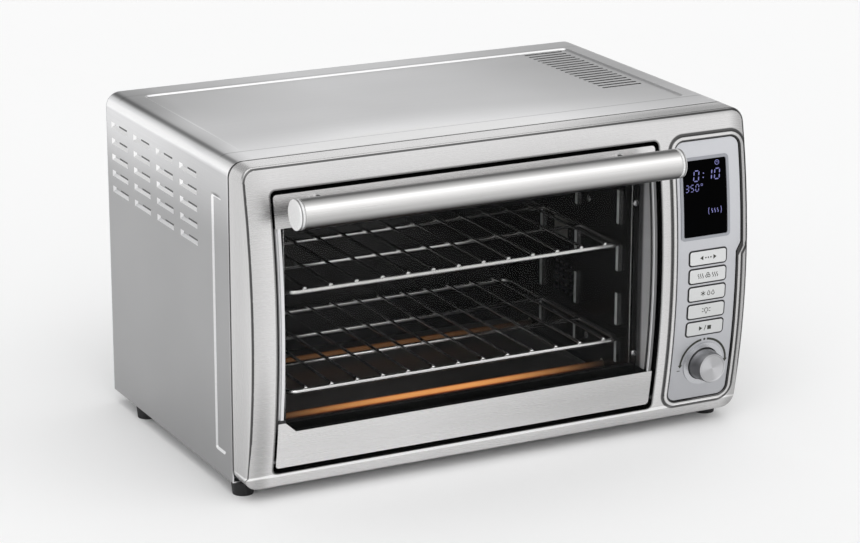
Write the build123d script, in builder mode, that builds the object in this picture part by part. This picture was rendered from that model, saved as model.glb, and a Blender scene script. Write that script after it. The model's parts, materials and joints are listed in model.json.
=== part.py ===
from build123d import *
import os
from math import sqrt

# Countertop toaster oven: wrapped steel casing, bulged front with a glass drop-down door,
# digital control panel, two wire racks, rod heaters and a side convection fan.
# Millimetres, +X to the oven's right, +Y to its back, +Z up. The origin is on the table,
# at the centre of the oven's footprint. Each piece is its own solid and its own STEP file.

os.makedirs("parts", exist_ok=True)

# ---------------------------------------------------------------- driving sizes
case_width = 480.0
case_depth = 271.0
case_height = 278.0
case_wall = 1.0
case_corner = 13.0
foot_height = 12.0
joint_gap = 0.8                 # dark line between the casing and the front bezel
seat_gap = 0.3                  # between pieces that seat on each other

bezel_edge = 25.0               # depth of the bezel at its top and bottom edges
bezel_bulge = 16.0              # how much further it stands out at mid height
bezel_wall = 1.2
bezel_edge_radius = 4.0
bevel_share = 0.6               # flat bevel that clears a rounded corner, as a share of its radius
lip_depth = 8.0                 # inner lip that the casing slides over

opening_left = -216.0
opening_right = 151.0
opening_rise = 13.0             # sill of the door opening above the casing's bottom
opening_drop = 20.0             # head of the opening below the casing's top
opening_corner = 5.0
return_depth = 15.0             # folded edge round the door opening

door_gap_side = 3.0
door_gap_top = 4.0
door_gap_bottom = 4.5
door_recess = 1.5               # door face behind the bezel face
door_wall = 1.0
door_back_gap = 7.0             # inner face of the door, ahead of the casing's front plane
door_corner = 3.0
top_rail_height = 27.5
bottom_rail_height = 32.5
side_rail_width = 4.5
side_rail_step = 1.8            # outer strip of the side rails, set back
side_rail_drop = 2.0
lug_height = 9.0
lug_width = 6.5
lug_slope = 10.0
clip_height = 3.0
glass_inset = 4.0
glass_thickness = 4.0
glass_tuck = 6.0
glass_groove = 2.3
glass_play = 0.2
inner_frame_wall = 1.2
frame_window_corner = 3.0
frame_fold_wall = 1.0
frame_fold_corner = 2.0
frame_fold_reach = 6.0
clip_proud = 0.2

pin_radius = 2.0
pin_rise = 9.0                  # hinge axis above the sill of the opening
pin_depth = 23.0                # hinge axis ahead of the casing's front plane
pin_engagement = 12.0
pin_end_proud = 0.5
bracket_wall = 2.0
bracket_drop = 9.0              # bracket below and above the pin
bracket_rise = 24.0
block_front_gap = 0.4
running_gap = 0.05
hole_play = 0.1                 # screw and pin holes larger than what passes through

handle_radius = 12.8
handle_wall = 1.5
handle_reach = 70.0             # handle axis ahead of the casing's front plane
handle_drop = 6.0               # handle axis below the top edge of the door
handle_post_radius = 3.6
handle_post_inset = 38.0
handle_cap_length = 5.0
handle_cap_dome = 2.4
handle_cap_groove = 0.9
handle_cap_lap = 0.2
post_tip = 2.0                  # end of the posts behind the handle's axis
post_root = 3.0                 # how far they start behind the door's face
post_hole_root = 5.0
handle_screw_head_height = 2.4
screw_bite = 3.0

panel_left = 166.5
panel_right = 227.5             # below the jog
panel_step = 4.5                # how much wider the panel is above the jog
panel_rise = 16.0               # lower edge of the panel above the casing's bottom
panel_drop = 23.5               # upper edge of the panel below the casing's top
panel_jog_rise = 152.0          # start of the jog above the casing's bottom
panel_jog_height = 8.0
panel_corner = 9.0
panel_gap = 0.8
panel_wall = 2.6
panel_recess = 0.2
panel_flange = 3.0
rim_width = 4.6
rim_height = 1.2
rim_bevel = 0.9

display_center_x = 195.2
display_width = 44.6
display_height = 67.4
display_rise = 203.6            # display centre above the casing's bottom
display_border = 2.6
lens_thickness = 2.0
lens_play = 0.3                 # lens smaller than its surround
lens_corner = 1.9
lens_proud = 0.1
window_play = 2.0               # panel window larger than the lens
window_corner = 3.0
surround_corner = 3.5
surround_proud = 0.7
surround_wall = 0.6
surround_bore_corner = 2.0
skirt_play = 1.6                # skirt larger than the lens
skirt_corner = 2.8
skirt_proud = 0.4
module_play = 1.0
module_corner = 1.5
board_margin = 3.0
board_corner = 3.0
relay_places = ((185.0, 60.0), (208.0, 60.0))   # x, and height above the casing's bottom
relay_size = (16.0, 20.0)
transformer_place = (197.0, 110.0)
transformer_size = (34.0, 28.0)
connector_place = (197.0, 200.0)
connector_size = (30.0, 6.0)
component_depth = 12.0

button_center_x = 197.8
button_width = 37.4
button_height = 12.8
button_corner = 2.5
button_rise = 150.2             # centre of the top button above the casing's bottom
button_pitch = 16.4
button_count = 5
button_proud = 0.7
button_length = 7.0
button_travel = 1.2
button_gap = 0.5
button_bevel = 0.6
switch_width = 7.0
plunger_width = 3.2

knob_center_x = 199.6
knob_drop = 34.6                # knob axis below the centre of the lowest button
knob_base_radius = 14.8
knob_tip_radius = 13.4
knob_proud = 16.5
knob_length = 23.0
knob_gap = 0.7
knob_ring_radius = 20.0
knob_ring_height = 1.2
knob_dish = 0.5                 # dish in the middle of the dial's face
knob_dish_rim = 0.3             # dish where the flat land begins
knob_dish_inset = 1.9
knob_land_inset = 1.4
knob_bevel_inset = 0.5
knob_bevel_length = 0.8
knob_bore_gap = 1.0
shaft_radius = 3.0
shaft_end_gap = 1.5             # shaft's rear end ahead of the board
encoder_width = 13.0
encoder_corner = 1.0

cavity_left = -193.0
cavity_right = 141.5
cavity_floor = 25.0             # inner floor above the casing's bottom
cavity_drop = 40.0              # inner ceiling below the casing's top
cavity_depth = 218.0
liner_wall = 1.0
flange_front = 4.0              # front face of the liner's flange, ahead of the casing's front plane

rack_level = 70.4               # lowest shelf above the casing's bottom
rack_pitch = 44.0
rack_rail_radius = 2.3
rack_wire_radius = 1.4
rack_wire_pitch = 24.2
rack_wire_count = 13
rack_front = 4.0                # front rail behind the casing's front plane
rack_length = 204.0
rack_side_gap = 4.0
rack_corner = 9.0
bead_depth = 6.0
bead_half = 4.0
bead_crest = 2.0
bead_places = (10.0, 83.0, 146.0)
bead_first_drop = 22.8          # start of the lowest beads below the lowest shelf level
bead_starts_above = (12.0, 18.0)    # start of the next beads above the shelf level under them
bead_top_shares = (0.216, 0.598)    # ends of the top beads, as shares of the space over the top shelf

heater_radius = 3.2
heater_rise_low = 35.0
heater_drop = 12.0              # upper heaters below the cavity's ceiling
heater_front = 43.0
heater_back = 177.0
insulator_radius = 7.0
insulator_length = 9.0

tray_wall = 1.0
tray_rim = 5.0
tray_side_gap = 4.0
tray_lip = 4.5
tray_slot_gap = 1.0

fan_place = 114.5               # fan axis behind the casing's front plane
fan_rise = 97.0
fan_radius = 18.0
fan_depth = 10.0
fan_hub_radius = 5.0
fan_blade_count = 8
fan_gap = 3.0
fan_slot_length = 6.0
fan_slot_width = 2.6
fan_slot_pitch_y = 8.5
fan_slot_pitch_z = 6.5
housing_radius = 23.0
housing_depth = 20.0
motor_radius = 17.0
motor_length = 26.0

lamp_place = 121.0
lamp_rise = 143.5
lamp_width = 26.0
lamp_height = 17.0
lamp_lap = 3.0                  # how far the lens laps the wall round its window
lamp_box_depth = 24.0
bulb_radius = 5.0
bulb_length = 14.0

spacer_depth = 6.0
louvre_length = 37.0
louvre_height = 5.6
louvre_depth = 2.2              # how far the louvres are pressed inwards
louvre_skin = 0.9
louvre_slit = 0.9
louvre_columns = 4
louvre_rows = 5
louvre_pitch_y = 52.0
louvre_pitch_z = 14.7
louvre_back = 12.0              # rear end of the last louvre column ahead of the casing's back
louvre_drop = 23.5              # top of the first louvre row below the casing's top
slot_count = 18
slot_pitch = 8.5
slot_length = 40.0
slot_width = 3.2
slot_center_x = 187.0
slot_center_y = 166.0
emboss_depth = 1.2

# ---------------------------------------------------------------- places worked out from them
overall_depth = handle_reach + handle_radius + case_depth + spacer_depth
front = handle_reach + handle_radius - overall_depth / 2        # the casing's front plane
back = front + case_depth
bottom = foot_height
top = bottom + case_height
middle = (bottom + top) / 2
half_height = case_height / 2
half_width = case_width / 2

bulge_radius = (half_height ** 2 + bezel_bulge ** 2) / (2 * bezel_bulge)
bulge_axis = front - bezel_edge - bezel_bulge + bulge_radius
front_limit = front - bezel_edge - bezel_bulge - 10.0           # clear ahead of every front face
front_reach = front - front_limit

opening_bottom = bottom + opening_rise
opening_top = top - opening_drop
opening_width = opening_right - opening_left
opening_height = opening_top - opening_bottom
opening_center = (opening_left + opening_right) / 2

door_left = opening_left + door_gap_side
door_right = opening_right - door_gap_side
door_bottom = opening_bottom + door_gap_bottom
door_top = opening_top - door_gap_top
door_back = front - door_back_gap
glass_bottom = door_bottom + bottom_rail_height
glass_top = door_top - top_rail_height
lug_top = glass_bottom + lug_height

pin_y = front - pin_depth
pin_z = opening_bottom + pin_rise
handle_y = front - handle_reach
handle_z = door_top - handle_drop

panel_bottom = bottom + panel_rise
panel_top = top - panel_drop
knob_z = bottom + button_rise - button_pitch * (button_count - 1) - knob_drop
board_y = front - 20.0
board_wall = 1.6

flange_y = front - flange_front
cavity_back = flange_y + cavity_depth
floor_z = bottom + cavity_floor
ceiling_z = top - cavity_drop
rack_left = cavity_left + rack_side_gap
rack_right = cavity_right - rack_side_gap


# ---------------------------------------------------------------- shared forms
def face_y(z, inset=0.0):
    # Depth of the bulged front face at height z, moved back by inset.
    return bulge_axis - sqrt((bulge_radius - inset) ** 2 - (z - middle) ** 2)


def front_block(x_min, x_max, z_min, z_max, inset, back_y):
    # Solid whose front follows the bulged face and whose back is flat.
    z_half = (z_min + z_max) / 2
    with BuildPart() as block:
        with BuildSketch(Plane.YZ.offset(x_min)):
            with BuildLine():
                ThreePointArc(
                    (face_y(z_min, inset), z_min),
                    (face_y(z_half, inset), z_half),
                    (face_y(z_max, inset), z_max),
                )
                Polyline(
                    (face_y(z_max, inset), z_max),
                    (back_y, z_max),
                    (back_y, z_min),
                    (face_y(z_min, inset), z_min),
                )
            make_face()
        extrude(amount=x_max - x_min)
    return block.part


def front_skin(x_min, x_max, z_min, z_max, inset, thickness):
    # Curved plate that follows the bulged face.
    plate = front_block(x_min, x_max, z_min, z_max, inset, front)
    hollow = front_block(x_min - 1, x_max + 1, z_min - 1, z_max + 1, inset + thickness, front + 1)
    return plate - hollow


def wide_skin(inset, thickness):
    # The same plate over the whole front, for cutting pieces out of.
    return front_skin(-half_width, half_width, bottom, top, inset, thickness)


def rounded_prism(x_center, z_center, width, height, corner, y_back, y_front):
    # Rounded bar along Y.
    with BuildPart() as prism:
        with BuildSketch(Plane.XZ.offset(-y_back)):
            with Locations((x_center, z_center)):
                RectangleRounded(width, height, corner)
        extrude(amount=y_back - y_front)
    return prism.part


def round_bar(x, y, z, radius, length, axis_plane):
    # Cylinder that starts at a point and runs along the plane's normal.
    with BuildPart() as bar:
        with BuildSketch(Plane(origin=(x, y, z), x_dir=axis_plane.x_dir, z_dir=axis_plane.z_dir)):
            Circle(radius)
        extrude(amount=length)
    return bar.part


def save(piece, name):
    piece.part.label = name
    export_step(piece.part, f"parts/{name}.step")


# ---------------------------------------------------------------- front bezel
def bezel_body(inset, back_y):
    # The bezel's outer form, shrunk by inset: bowed block, rounded corners, then a rounded front edge.
    # Its inside, which nothing shows, has plain bevels instead.
    block = front_block(
        inset - half_width, half_width - inset, bottom + inset, top - inset, inset, back_y)
    with BuildPart() as body:
        add(block)
        long_edges = body.edges().filter_by(Axis.Y)
        if inset:
            chamfer(long_edges, length=(case_corner - inset) * bevel_share)
        else:
            fillet(long_edges, radius=case_corner)
        front_edges = body.faces().sort_by(Axis.Y)[0].edges()
        if inset:
            chamfer(front_edges, length=bezel_edge_radius / 2)
        else:
            fillet(front_edges, radius=bezel_edge_radius)
    return body.part


def panel_outline(grow, y_back, depth):
    # Bar along Y with the control panel's stepped outline, grown by a margin.
    left = panel_left - grow
    low_right = panel_right + grow
    high_right = panel_right + panel_step + grow
    low = panel_bottom - grow
    high = panel_top + grow
    jog = bottom + panel_jog_rise
    with BuildPart() as bar:
        with BuildSketch(Plane.XZ.offset(-y_back)) as outline:
            with BuildLine():
                Polyline(
                    (left, low),
                    (low_right, low),
                    (low_right, jog),
                    (high_right, jog + panel_jog_height),
                    (high_right, high),
                    (left, high),
                    close=True,
                )
            make_face()
            corners = outline.vertices()
            jog_corners = corners.filter_by_position(Axis.Y, jog - 1, jog + panel_jog_height + 1)
            fillet(jog_corners, radius=panel_corner / 2)
            outer = [v for v in outline.vertices() if min(abs(v.Y - low), abs(v.Y - high)) < 0.01]
            fillet(outer, radius=panel_corner + grow)
        extrude(amount=depth)
    return bar.part


bezel_outer = bezel_body(0.0, front - joint_gap / 2)
bezel_void = bezel_body(bezel_wall, front + joint_gap)
door_cut = rounded_prism(
    opening_center, (opening_bottom + opening_top) / 2, opening_width, opening_height,
    opening_corner, front, front_limit,
)
door_return = rounded_prism(
    opening_center, (opening_bottom + opening_top) / 2,
    opening_width + 2 * bezel_wall, opening_height + 2 * bezel_wall,
    opening_corner + bezel_wall, front - return_depth, front_limit,
) & bezel_outer
lip_size = case_wall + 0.2
lip_ring = rounded_prism(
    0, middle, case_width - 2 * lip_size, case_height - 2 * lip_size,
    case_corner - lip_size, front + lip_depth, front - lip_depth,
)
lip_bore = rounded_prism(
    0, middle, case_width - 2 * lip_size - 2 * bezel_wall, case_height - 2 * lip_size - 2 * bezel_wall,
    case_corner - lip_size - bezel_wall, front + lip_depth + 1, front - lip_depth - 1,
)
rim_ring = panel_outline(rim_width, front, front_reach) - panel_outline(0.0, front + 1, front_reach + 2)
rim_face = front_skin(-half_width, half_width, bottom, top, -rim_height, rim_height + bezel_wall)
with BuildPart() as panel_rim:
    add(rim_ring)
    add(rim_face, mode=Mode.INTERSECT)
    chamfer(panel_rim.faces().sort_by(Axis.Y)[0].edges(), length=rim_bevel)
panel_cut = panel_outline(0.0, front, front_reach)
pin_bore = round_bar(opening_left - 10, pin_y, pin_z, pin_radius + 1.0, opening_width + 20, Plane.YZ)

with BuildPart() as front_bezel:
    add(bezel_outer)
    add(bezel_void, mode=Mode.SUBTRACT)
    add(door_return)
    add(lip_ring)
    add(lip_bore, mode=Mode.SUBTRACT)
    add(door_cut, mode=Mode.SUBTRACT)
    add(panel_cut, mode=Mode.SUBTRACT)
    add(panel_rim.part)
    add(pin_bore, mode=Mode.SUBTRACT)
save(front_bezel, "front_bezel")


# ---------------------------------------------------------------- outer casing
def louvre_pocket(y_start, z_low):
    # Metal inside the left wall behind one louvre. It ends under the slit along the louvre's top.
    with BuildPart() as pocket:
        with BuildSketch(Plane.YZ.offset(-half_width + case_wall / 2)):
            with Locations((y_start + louvre_length / 2, z_low + (louvre_height - louvre_slit) / 2)):
                Rectangle(louvre_length, louvre_height - louvre_slit)
        extrude(amount=louvre_depth + louvre_skin - case_wall / 2)
    return pocket.part


def louvre_dimple(y_start, z_low):
    # The dimple pressed into the wall: sloped at its ends and below, cut straight along its top.
    z_top = z_low + louvre_height
    with BuildPart() as dimple:
        with BuildSketch(Plane.YZ.offset(-half_width)):
            with Locations((y_start + louvre_length / 2, z_top)):
                Rectangle(louvre_length, 2 * louvre_height)
        extrude(amount=louvre_depth, taper=45)
        split(bisect_by=Plane.XY.offset(z_top), keep=Keep.BOTTOM)
    return dimple.part


louvre_places = [
    (back - louvre_back - louvre_length - column * louvre_pitch_y,
     top - louvre_drop - louvre_height - row * louvre_pitch_z)
    for column in range(louvre_columns)
    for row in range(louvre_rows)
]
left_pockets = [louvre_pocket(y, z) for y, z in louvre_places]
left_dimples = [louvre_dimple(y, z) for y, z in louvre_places]
pockets = left_pockets + [mirror(pocket, about=Plane.YZ) for pocket in left_pockets]
dimples = left_dimples + [mirror(dimple, about=Plane.YZ) for dimple in left_dimples]
rib_low = bottom + 19.0
rib_high = bottom + 245.0
rib_front = front + 13.4
rib_depth = 23.0
panel_half = 217.0
panel_front = front + 28.0
panel_back = front + 248.0
casing_start = front + joint_gap / 2
casing_end = back - case_wall

with BuildPart() as outer_casing:
    with BuildSketch(Plane.XZ.offset(-casing_start)):
        with Locations((0, middle)):
            RectangleRounded(case_width, case_height, case_corner)
        with Locations((0, bottom + case_corner / 2)):
            Rectangle(case_width, case_corner)
    extrude(amount=-(casing_end - casing_start))
    with BuildSketch(Plane.XZ.offset(-casing_start)):
        with Locations((0, middle - case_wall)):
            RectangleRounded(case_width - 2 * case_wall, case_height, case_corner - case_wall)
        with Locations((0, bottom + case_corner / 2)):
            Rectangle(case_width - 2 * case_wall, case_corner)
    extrude(amount=-(casing_end - casing_start), mode=Mode.SUBTRACT)
    # Feet of the side walls, folded inwards.
    for side in (-1, 1):
        with BuildSketch(Plane.XY.offset(bottom)):
            with Locations((side * (half_width - 6.0), (casing_start + casing_end) / 2)):
                Rectangle(12.0, casing_end - casing_start)
        extrude(amount=case_wall)
    # Shallow pressed panel in the top, and a pressed upright near the front of each side.
    with BuildSketch(Plane.XY.offset(top - case_wall)):
        with Locations((0, (panel_front + panel_back) / 2)):
            RectangleRounded(2 * panel_half, panel_back - panel_front, 8.0)
    extrude(amount=-emboss_depth)
    with BuildSketch(Plane.XY.offset(top)):
        with Locations((0, (panel_front + panel_back) / 2)):
            RectangleRounded(2 * panel_half - 4.0, panel_back - panel_front - 4.0, 6.0)
    extrude(amount=-emboss_depth, taper=60, mode=Mode.SUBTRACT)
    for side in (-1, 1):
        rib_plane = Plane(origin=(side * half_width, 0, 0), x_dir=(0, 1, 0), z_dir=(side, 0, 0))
        local_z = (rib_low + rib_high) / 2 * (1 if side > 0 else -1)
        with BuildSketch(rib_plane.offset(-case_wall)):
            with Locations((rib_front + rib_depth / 2, local_z)):
                RectangleRounded(rib_depth, rib_high - rib_low, 3.0)
        extrude(amount=-emboss_depth)
        with BuildSketch(rib_plane):
            with Locations((rib_front + rib_depth / 2, local_z)):
                RectangleRounded(rib_depth - 2.4, rib_high - rib_low - 2.4, 3.0)
        extrude(amount=-emboss_depth, taper=60, mode=Mode.SUBTRACT)
    # Warm air slots over the electronics.
    with BuildSketch(Plane.XY.offset(top + 1)):
        with Locations((slot_center_x, front + slot_center_y)):
            with GridLocations(0, slot_pitch, 1, slot_count):
                Rectangle(slot_length, slot_width)
    extrude(amount=-(case_wall + emboss_depth + 2), mode=Mode.SUBTRACT)
    # Louvres on both sides.
    add(pockets)
    add(dimples, mode=Mode.SUBTRACT)
save(outer_casing, "outer_casing")


# ---------------------------------------------------------------- back, base and feet
bushing_x = 190.0
bushing_z = bottom + 34.0
bushing_radius = 9.0
tray_left = cavity_left + tray_side_gap
tray_right = cavity_right - tray_side_gap
tray_center = (tray_left + tray_right) / 2
tray_width = tray_right - tray_left
tray_low = floor_z + seat_gap
tray_high = tray_low + tray_rim
tray_slot = rounded_prism(
    tray_center, (tray_low + tray_high) / 2, tray_width + 2 * tray_slot_gap,
    tray_rim + 2 * seat_gap, 1.0, back + 1, cavity_back - liner_wall - 1,
)
back_vent_columns = 8
back_vent_rows = 3
back_vent_length = 30.0
back_vent_width = 3.0
back_vent_pitch_x = 40.0
back_vent_pitch_z = 12.0
back_vent_rise = 217.0
screw_radius = 1.9
screw_head = 3.6
screw_head_height = 1.6
back_screw_inset = 12.0
back_screw_x = half_width - back_screw_inset - 2.0
back_screw_rows = (bottom + back_screw_inset, top - back_screw_inset)
back_screw_places = [(x, z) for x in (-back_screw_x, 0.0, back_screw_x) for z in back_screw_rows]
back_screw_places += [(x, middle) for x in (-back_screw_x, back_screw_x)]
spacer_places = [(-170.0, top - 60.0), (170.0, top - 60.0)]

with BuildPart() as rear_panel:
    with BuildSketch(Plane.XZ.offset(-back)):
        with Locations((0, middle)):
            RectangleRounded(case_width, case_height, case_corner)
        with Locations((0, bottom + case_corner / 2)):
            Rectangle(case_width, case_corner)
    extrude(amount=case_wall)
    with BuildSketch(Plane.XZ.offset(-(casing_end + seat_gap))):
        with Locations((0, middle)):
            RectangleRounded(2 * (half_width - lip_size), case_height - 2 * lip_size, case_corner - lip_size)
        with Locations((0, middle)):
            RectangleRounded(
                2 * (half_width - lip_size - case_wall), case_height - 2 * lip_size - 2 * case_wall,
                case_corner - lip_size - case_wall, mode=Mode.SUBTRACT,
            )
    extrude(amount=lip_depth)
    with BuildSketch(Plane.XZ.offset(-(back + 1))):
        with Locations((0, bottom + back_vent_rise)):
            with GridLocations(back_vent_pitch_x, back_vent_pitch_z, back_vent_columns, back_vent_rows):
                Rectangle(back_vent_length, back_vent_width)
        with Locations((bushing_x, bushing_z)):
            Circle(bushing_radius)
    extrude(amount=case_wall + 2, mode=Mode.SUBTRACT)
    add(tray_slot, mode=Mode.SUBTRACT)
save(rear_panel, "rear_panel")

with BuildPart() as rear_spacers:
    with BuildSketch(Plane.XZ.offset(-back)):
        with Locations(*spacer_places):
            RectangleRounded(36.0, 14.0, 5.0)
    extrude(amount=-spacer_depth, taper=12)
save(rear_spacers, "rear_spacers")

with BuildPart() as cord_bushing:
    with BuildSketch(Plane.XZ.offset(-(back + 3.0))):
        with Locations((bushing_x, bushing_z)):
            Circle(bushing_radius + 2.5)
            Circle(4.0, mode=Mode.SUBTRACT)
    extrude(amount=3.0)
    with BuildSketch(Plane.XZ.offset(-back)):
        with Locations((bushing_x, bushing_z)):
            Circle(bushing_radius - 0.1)
            Circle(4.0, mode=Mode.SUBTRACT)
    extrude(amount=7.0)
save(cord_bushing, "cord_bushing")

with BuildPart() as rear_screws:
    with BuildSketch(Plane.XZ.offset(-back)):
        with Locations(*back_screw_places):
            RegularPolygon(screw_head, 6)
    extrude(amount=-screw_head_height)
save(rear_screws, "rear_screws")

foot_top_radius = 10.5
foot_inset = 11.5
foot_taper = 7.0
foot_x = half_width - foot_inset
foot_front_y = front + 6.0
foot_rear_y = back - 52.0
foot_places = {
    "foot_front_left": (-foot_x, foot_front_y),
    "foot_front_right": (foot_x, foot_front_y),
    "foot_rear_left": (-foot_x, foot_rear_y),
    "foot_rear_right": (foot_x, foot_rear_y),
}
pan_z = bottom + case_wall

with BuildPart() as base_pan:
    with BuildSketch(Plane.XY.offset(pan_z)):
        with Locations((0, (casing_start + casing_end) / 2)):
            Rectangle(case_width - 2 * lip_size - 2 * bezel_wall, casing_end - casing_start - 2 * lip_depth)
        with Locations((0, (casing_start + casing_end) / 2)):
            with GridLocations(60.0, 60.0, 6, 3):
                Rectangle(34.0, 4.0, mode=Mode.SUBTRACT)
    extrude(amount=case_wall)
save(base_pan, "base_pan")

for name, foot_place in foot_places.items():
    with BuildPart() as foot:
        with BuildSketch(Plane.XY.offset(foot_height)):
            with Locations(foot_place):
                Circle(foot_top_radius)
        extrude(amount=-foot_height, taper=foot_taper)
    save(foot, name)

# ---------------------------------------------------------------- oven cavity
cavity_width = cavity_right - cavity_left
cavity_center = (cavity_left + cavity_right) / 2
cavity_height = ceiling_z - floor_z
cavity_middle = (floor_z + ceiling_z) / 2
flange_right = 161.0
flange_margin = lip_size + bezel_wall + seat_gap
flange_left = -(half_width - flange_margin)
flange_low = bottom + flange_margin
flange_high = top - flange_margin
shelf_levels = [bottom + rack_level + rack_pitch * step for step in (0, 1, 2)]
top_space = ceiling_z - shelf_levels[2]
bead_starts = [
    shelf_levels[0] - bead_first_drop,
    shelf_levels[0] + bead_starts_above[0],
    shelf_levels[1] + bead_starts_above[1],
    shelf_levels[2] + top_space * bead_top_shares[0],
]
bead_ends = [level - rack_rail_radius - seat_gap for level in shelf_levels]
bead_ends.append(shelf_levels[2] + top_space * bead_top_shares[1])
heater_lines = {
    "lower_front_heater": (front + heater_front, bottom + heater_rise_low),
    "lower_rear_heater": (front + heater_back, bottom + heater_rise_low),
    "upper_front_heater": (front + heater_front, ceiling_z - heater_drop),
    "upper_rear_heater": (front + heater_back, ceiling_z - heater_drop),
}
fan_y = front + fan_place
fan_z = bottom + fan_rise
lamp_y = front + lamp_place
lamp_z = bottom + lamp_rise
sensor_y = front + 190.0
sensor_z = ceiling_z - 33.0
sensor_radius = 2.6
sensor_reach = 24.0
flange_screw_rows = (bottom + 60.0, ceiling_z - 42.0)
flange_screw_columns = (cavity_left - 9.0, cavity_right + 5.5)
flange_screw_places = [(x, z) for x in flange_screw_columns for z in flange_screw_rows]
bar_wall_gap = 0.1
heater_hole_gap = 1.5

with BuildPart() as cavity_liner:
    with BuildSketch(Plane.XZ.offset(-cavity_back)):
        with Locations((cavity_center, cavity_middle)):
            Rectangle(cavity_width + 2 * liner_wall, cavity_height + 2 * liner_wall)
    extrude(amount=cavity_depth)
    with BuildSketch(Plane.XZ.offset(-(flange_y + liner_wall))):
        with Locations(((flange_left + flange_right) / 2, (flange_low + flange_high) / 2)):
            Rectangle(flange_right - flange_left, flange_high - flange_low)
    extrude(amount=liner_wall)
    flange_corners = cavity_liner.edges().filter_by(Axis.Y).sort_by(Axis.X)[0:2]
    chamfer(flange_corners, length=case_corner)
    with BuildSketch(Plane.XZ.offset(-(cavity_back - liner_wall))):
        with Locations((cavity_center, cavity_middle)):
            Rectangle(cavity_width, cavity_height)
    extrude(amount=cavity_depth, mode=Mode.SUBTRACT)
    # Upright beads that carry the racks, pressed into both side walls.
    for bead_y in bead_places:
        for low, high in zip(bead_starts, bead_ends):
            for wall_x, inward in ((cavity_left, 1), (cavity_right, -1)):
                with BuildSketch(Plane.XY.offset(low)):
                    with BuildLine():
                        Polyline(
                            (wall_x - inward * liner_wall / 2, front + bead_y - bead_half),
                            (wall_x + inward * bead_depth / 2, front + bead_y - bead_half),
                            (wall_x + inward * bead_depth, front + bead_y - bead_crest),
                            (wall_x + inward * bead_depth, front + bead_y + bead_crest),
                            (wall_x + inward * bead_depth / 2, front + bead_y + bead_half),
                            (wall_x - inward * liner_wall / 2, front + bead_y + bead_half),
                            close=True,
                        )
                    make_face()
                extrude(amount=high - low)
    # Holes for the heaters, the fan, the lamp and the sensor.
    with BuildSketch(Plane.YZ.offset(cavity_left - 10)):
        for line_y, line_z in heater_lines.values():
            with Locations((line_y, line_z)):
                RegularPolygon(heater_radius + heater_hole_gap, 8, major_radius=False)
    extrude(amount=cavity_width + 20, mode=Mode.SUBTRACT)
    with BuildSketch(Plane.YZ.offset(cavity_right - 1)):
        with Locations((fan_y, fan_z)):
            with GridLocations(fan_slot_pitch_y, fan_slot_pitch_z, 4, 5):
                Rectangle(fan_slot_length, fan_slot_width)
        with Locations((lamp_y, lamp_z)):
            Rectangle(lamp_width, lamp_height)
        with Locations((sensor_y, sensor_z)):
            Circle(sensor_radius + bar_wall_gap)
    extrude(amount=liner_wall + 2, mode=Mode.SUBTRACT)
    add(tray_slot, mode=Mode.SUBTRACT)
save(cavity_liner, "cavity_liner")

with BuildPart() as flange_screws:
    with BuildSketch(Plane.XZ.offset(-flange_y)):
        with Locations(*flange_screw_places):
            RegularPolygon(screw_head, 8)
    extrude(amount=screw_head_height)
save(flange_screws, "flange_screws")

# ---------------------------------------------------------------- heaters
for name, (line_y, line_z) in heater_lines.items():
    start_x = cavity_left - liner_wall - insulator_length - 8.0
    end_x = cavity_right + liner_wall + insulator_length + 8.0
    with BuildPart() as heater:
        with BuildSketch(Plane.YZ.offset(start_x)):
            with Locations((line_y, line_z)):
                Circle(heater_radius)
        extrude(amount=end_x - start_x)
    save(heater, name)

with BuildPart() as heater_insulators:
    for wall_x, outward in ((cavity_left - liner_wall, -1), (cavity_right + liner_wall, 1)):
        with BuildSketch(Plane.YZ.offset(wall_x)):
            for line_y, line_z in heater_lines.values():
                with Locations((line_y, line_z)):
                    Rectangle(2 * insulator_radius, 2 * insulator_radius)
                    RegularPolygon(heater_radius + bar_wall_gap, 8, major_radius=False, mode=Mode.SUBTRACT)
        extrude(amount=outward * insulator_length)
save(heater_insulators, "heater_insulators")

# ---------------------------------------------------------------- racks
def wire_rack(level):
    # Welded wire shelf: one closed rail, long wires on top of it and two cross wires under them.
    rail_left = rack_left + rack_rail_radius
    rail_right = rack_right - rack_rail_radius
    rail_front = front + rack_front
    rail_back = rail_front + rack_length
    rail_center = (rail_left + rail_right) / 2
    wire_z = level + rack_rail_radius + rack_wire_radius - 0.6
    with BuildPart() as rack:
        with BuildLine() as rail_path:
            FilletPolyline(
                (rail_left, rail_front, level),
                (rail_left, rail_back, level),
                (rail_right, rail_back, level),
                (rail_right, rail_front, level),
                radius=rack_corner,
                close=True,
            )
        with BuildSketch(Plane(origin=rail_path.line @ 0, z_dir=rail_path.line % 0)):
            RegularPolygon(rack_rail_radius, 6)
        sweep(path=rail_path.line)
        with BuildSketch(Plane.XZ.offset(-(rail_front - rack_rail_radius * 0.4))):
            with Locations((rail_center, wire_z)):
                with GridLocations(rack_wire_pitch, 0, rack_wire_count, 1):
                    RegularPolygon(rack_wire_radius, 4)
        extrude(amount=-(rack_length + rack_rail_radius * 0.8))
        with BuildSketch(Plane.YZ.offset(rail_left)):
            with Locations((rail_front + rack_length / 3, level), (rail_front + rack_length * 2 / 3, level)):
                RegularPolygon(rack_rail_radius - 0.4, 6)
        extrude(amount=rail_right - rail_left)
    return rack


lower_rack = wire_rack(shelf_levels[0])
save(lower_rack, "lower_rack")
upper_rack = wire_rack(shelf_levels[2])
save(upper_rack, "upper_rack")

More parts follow.
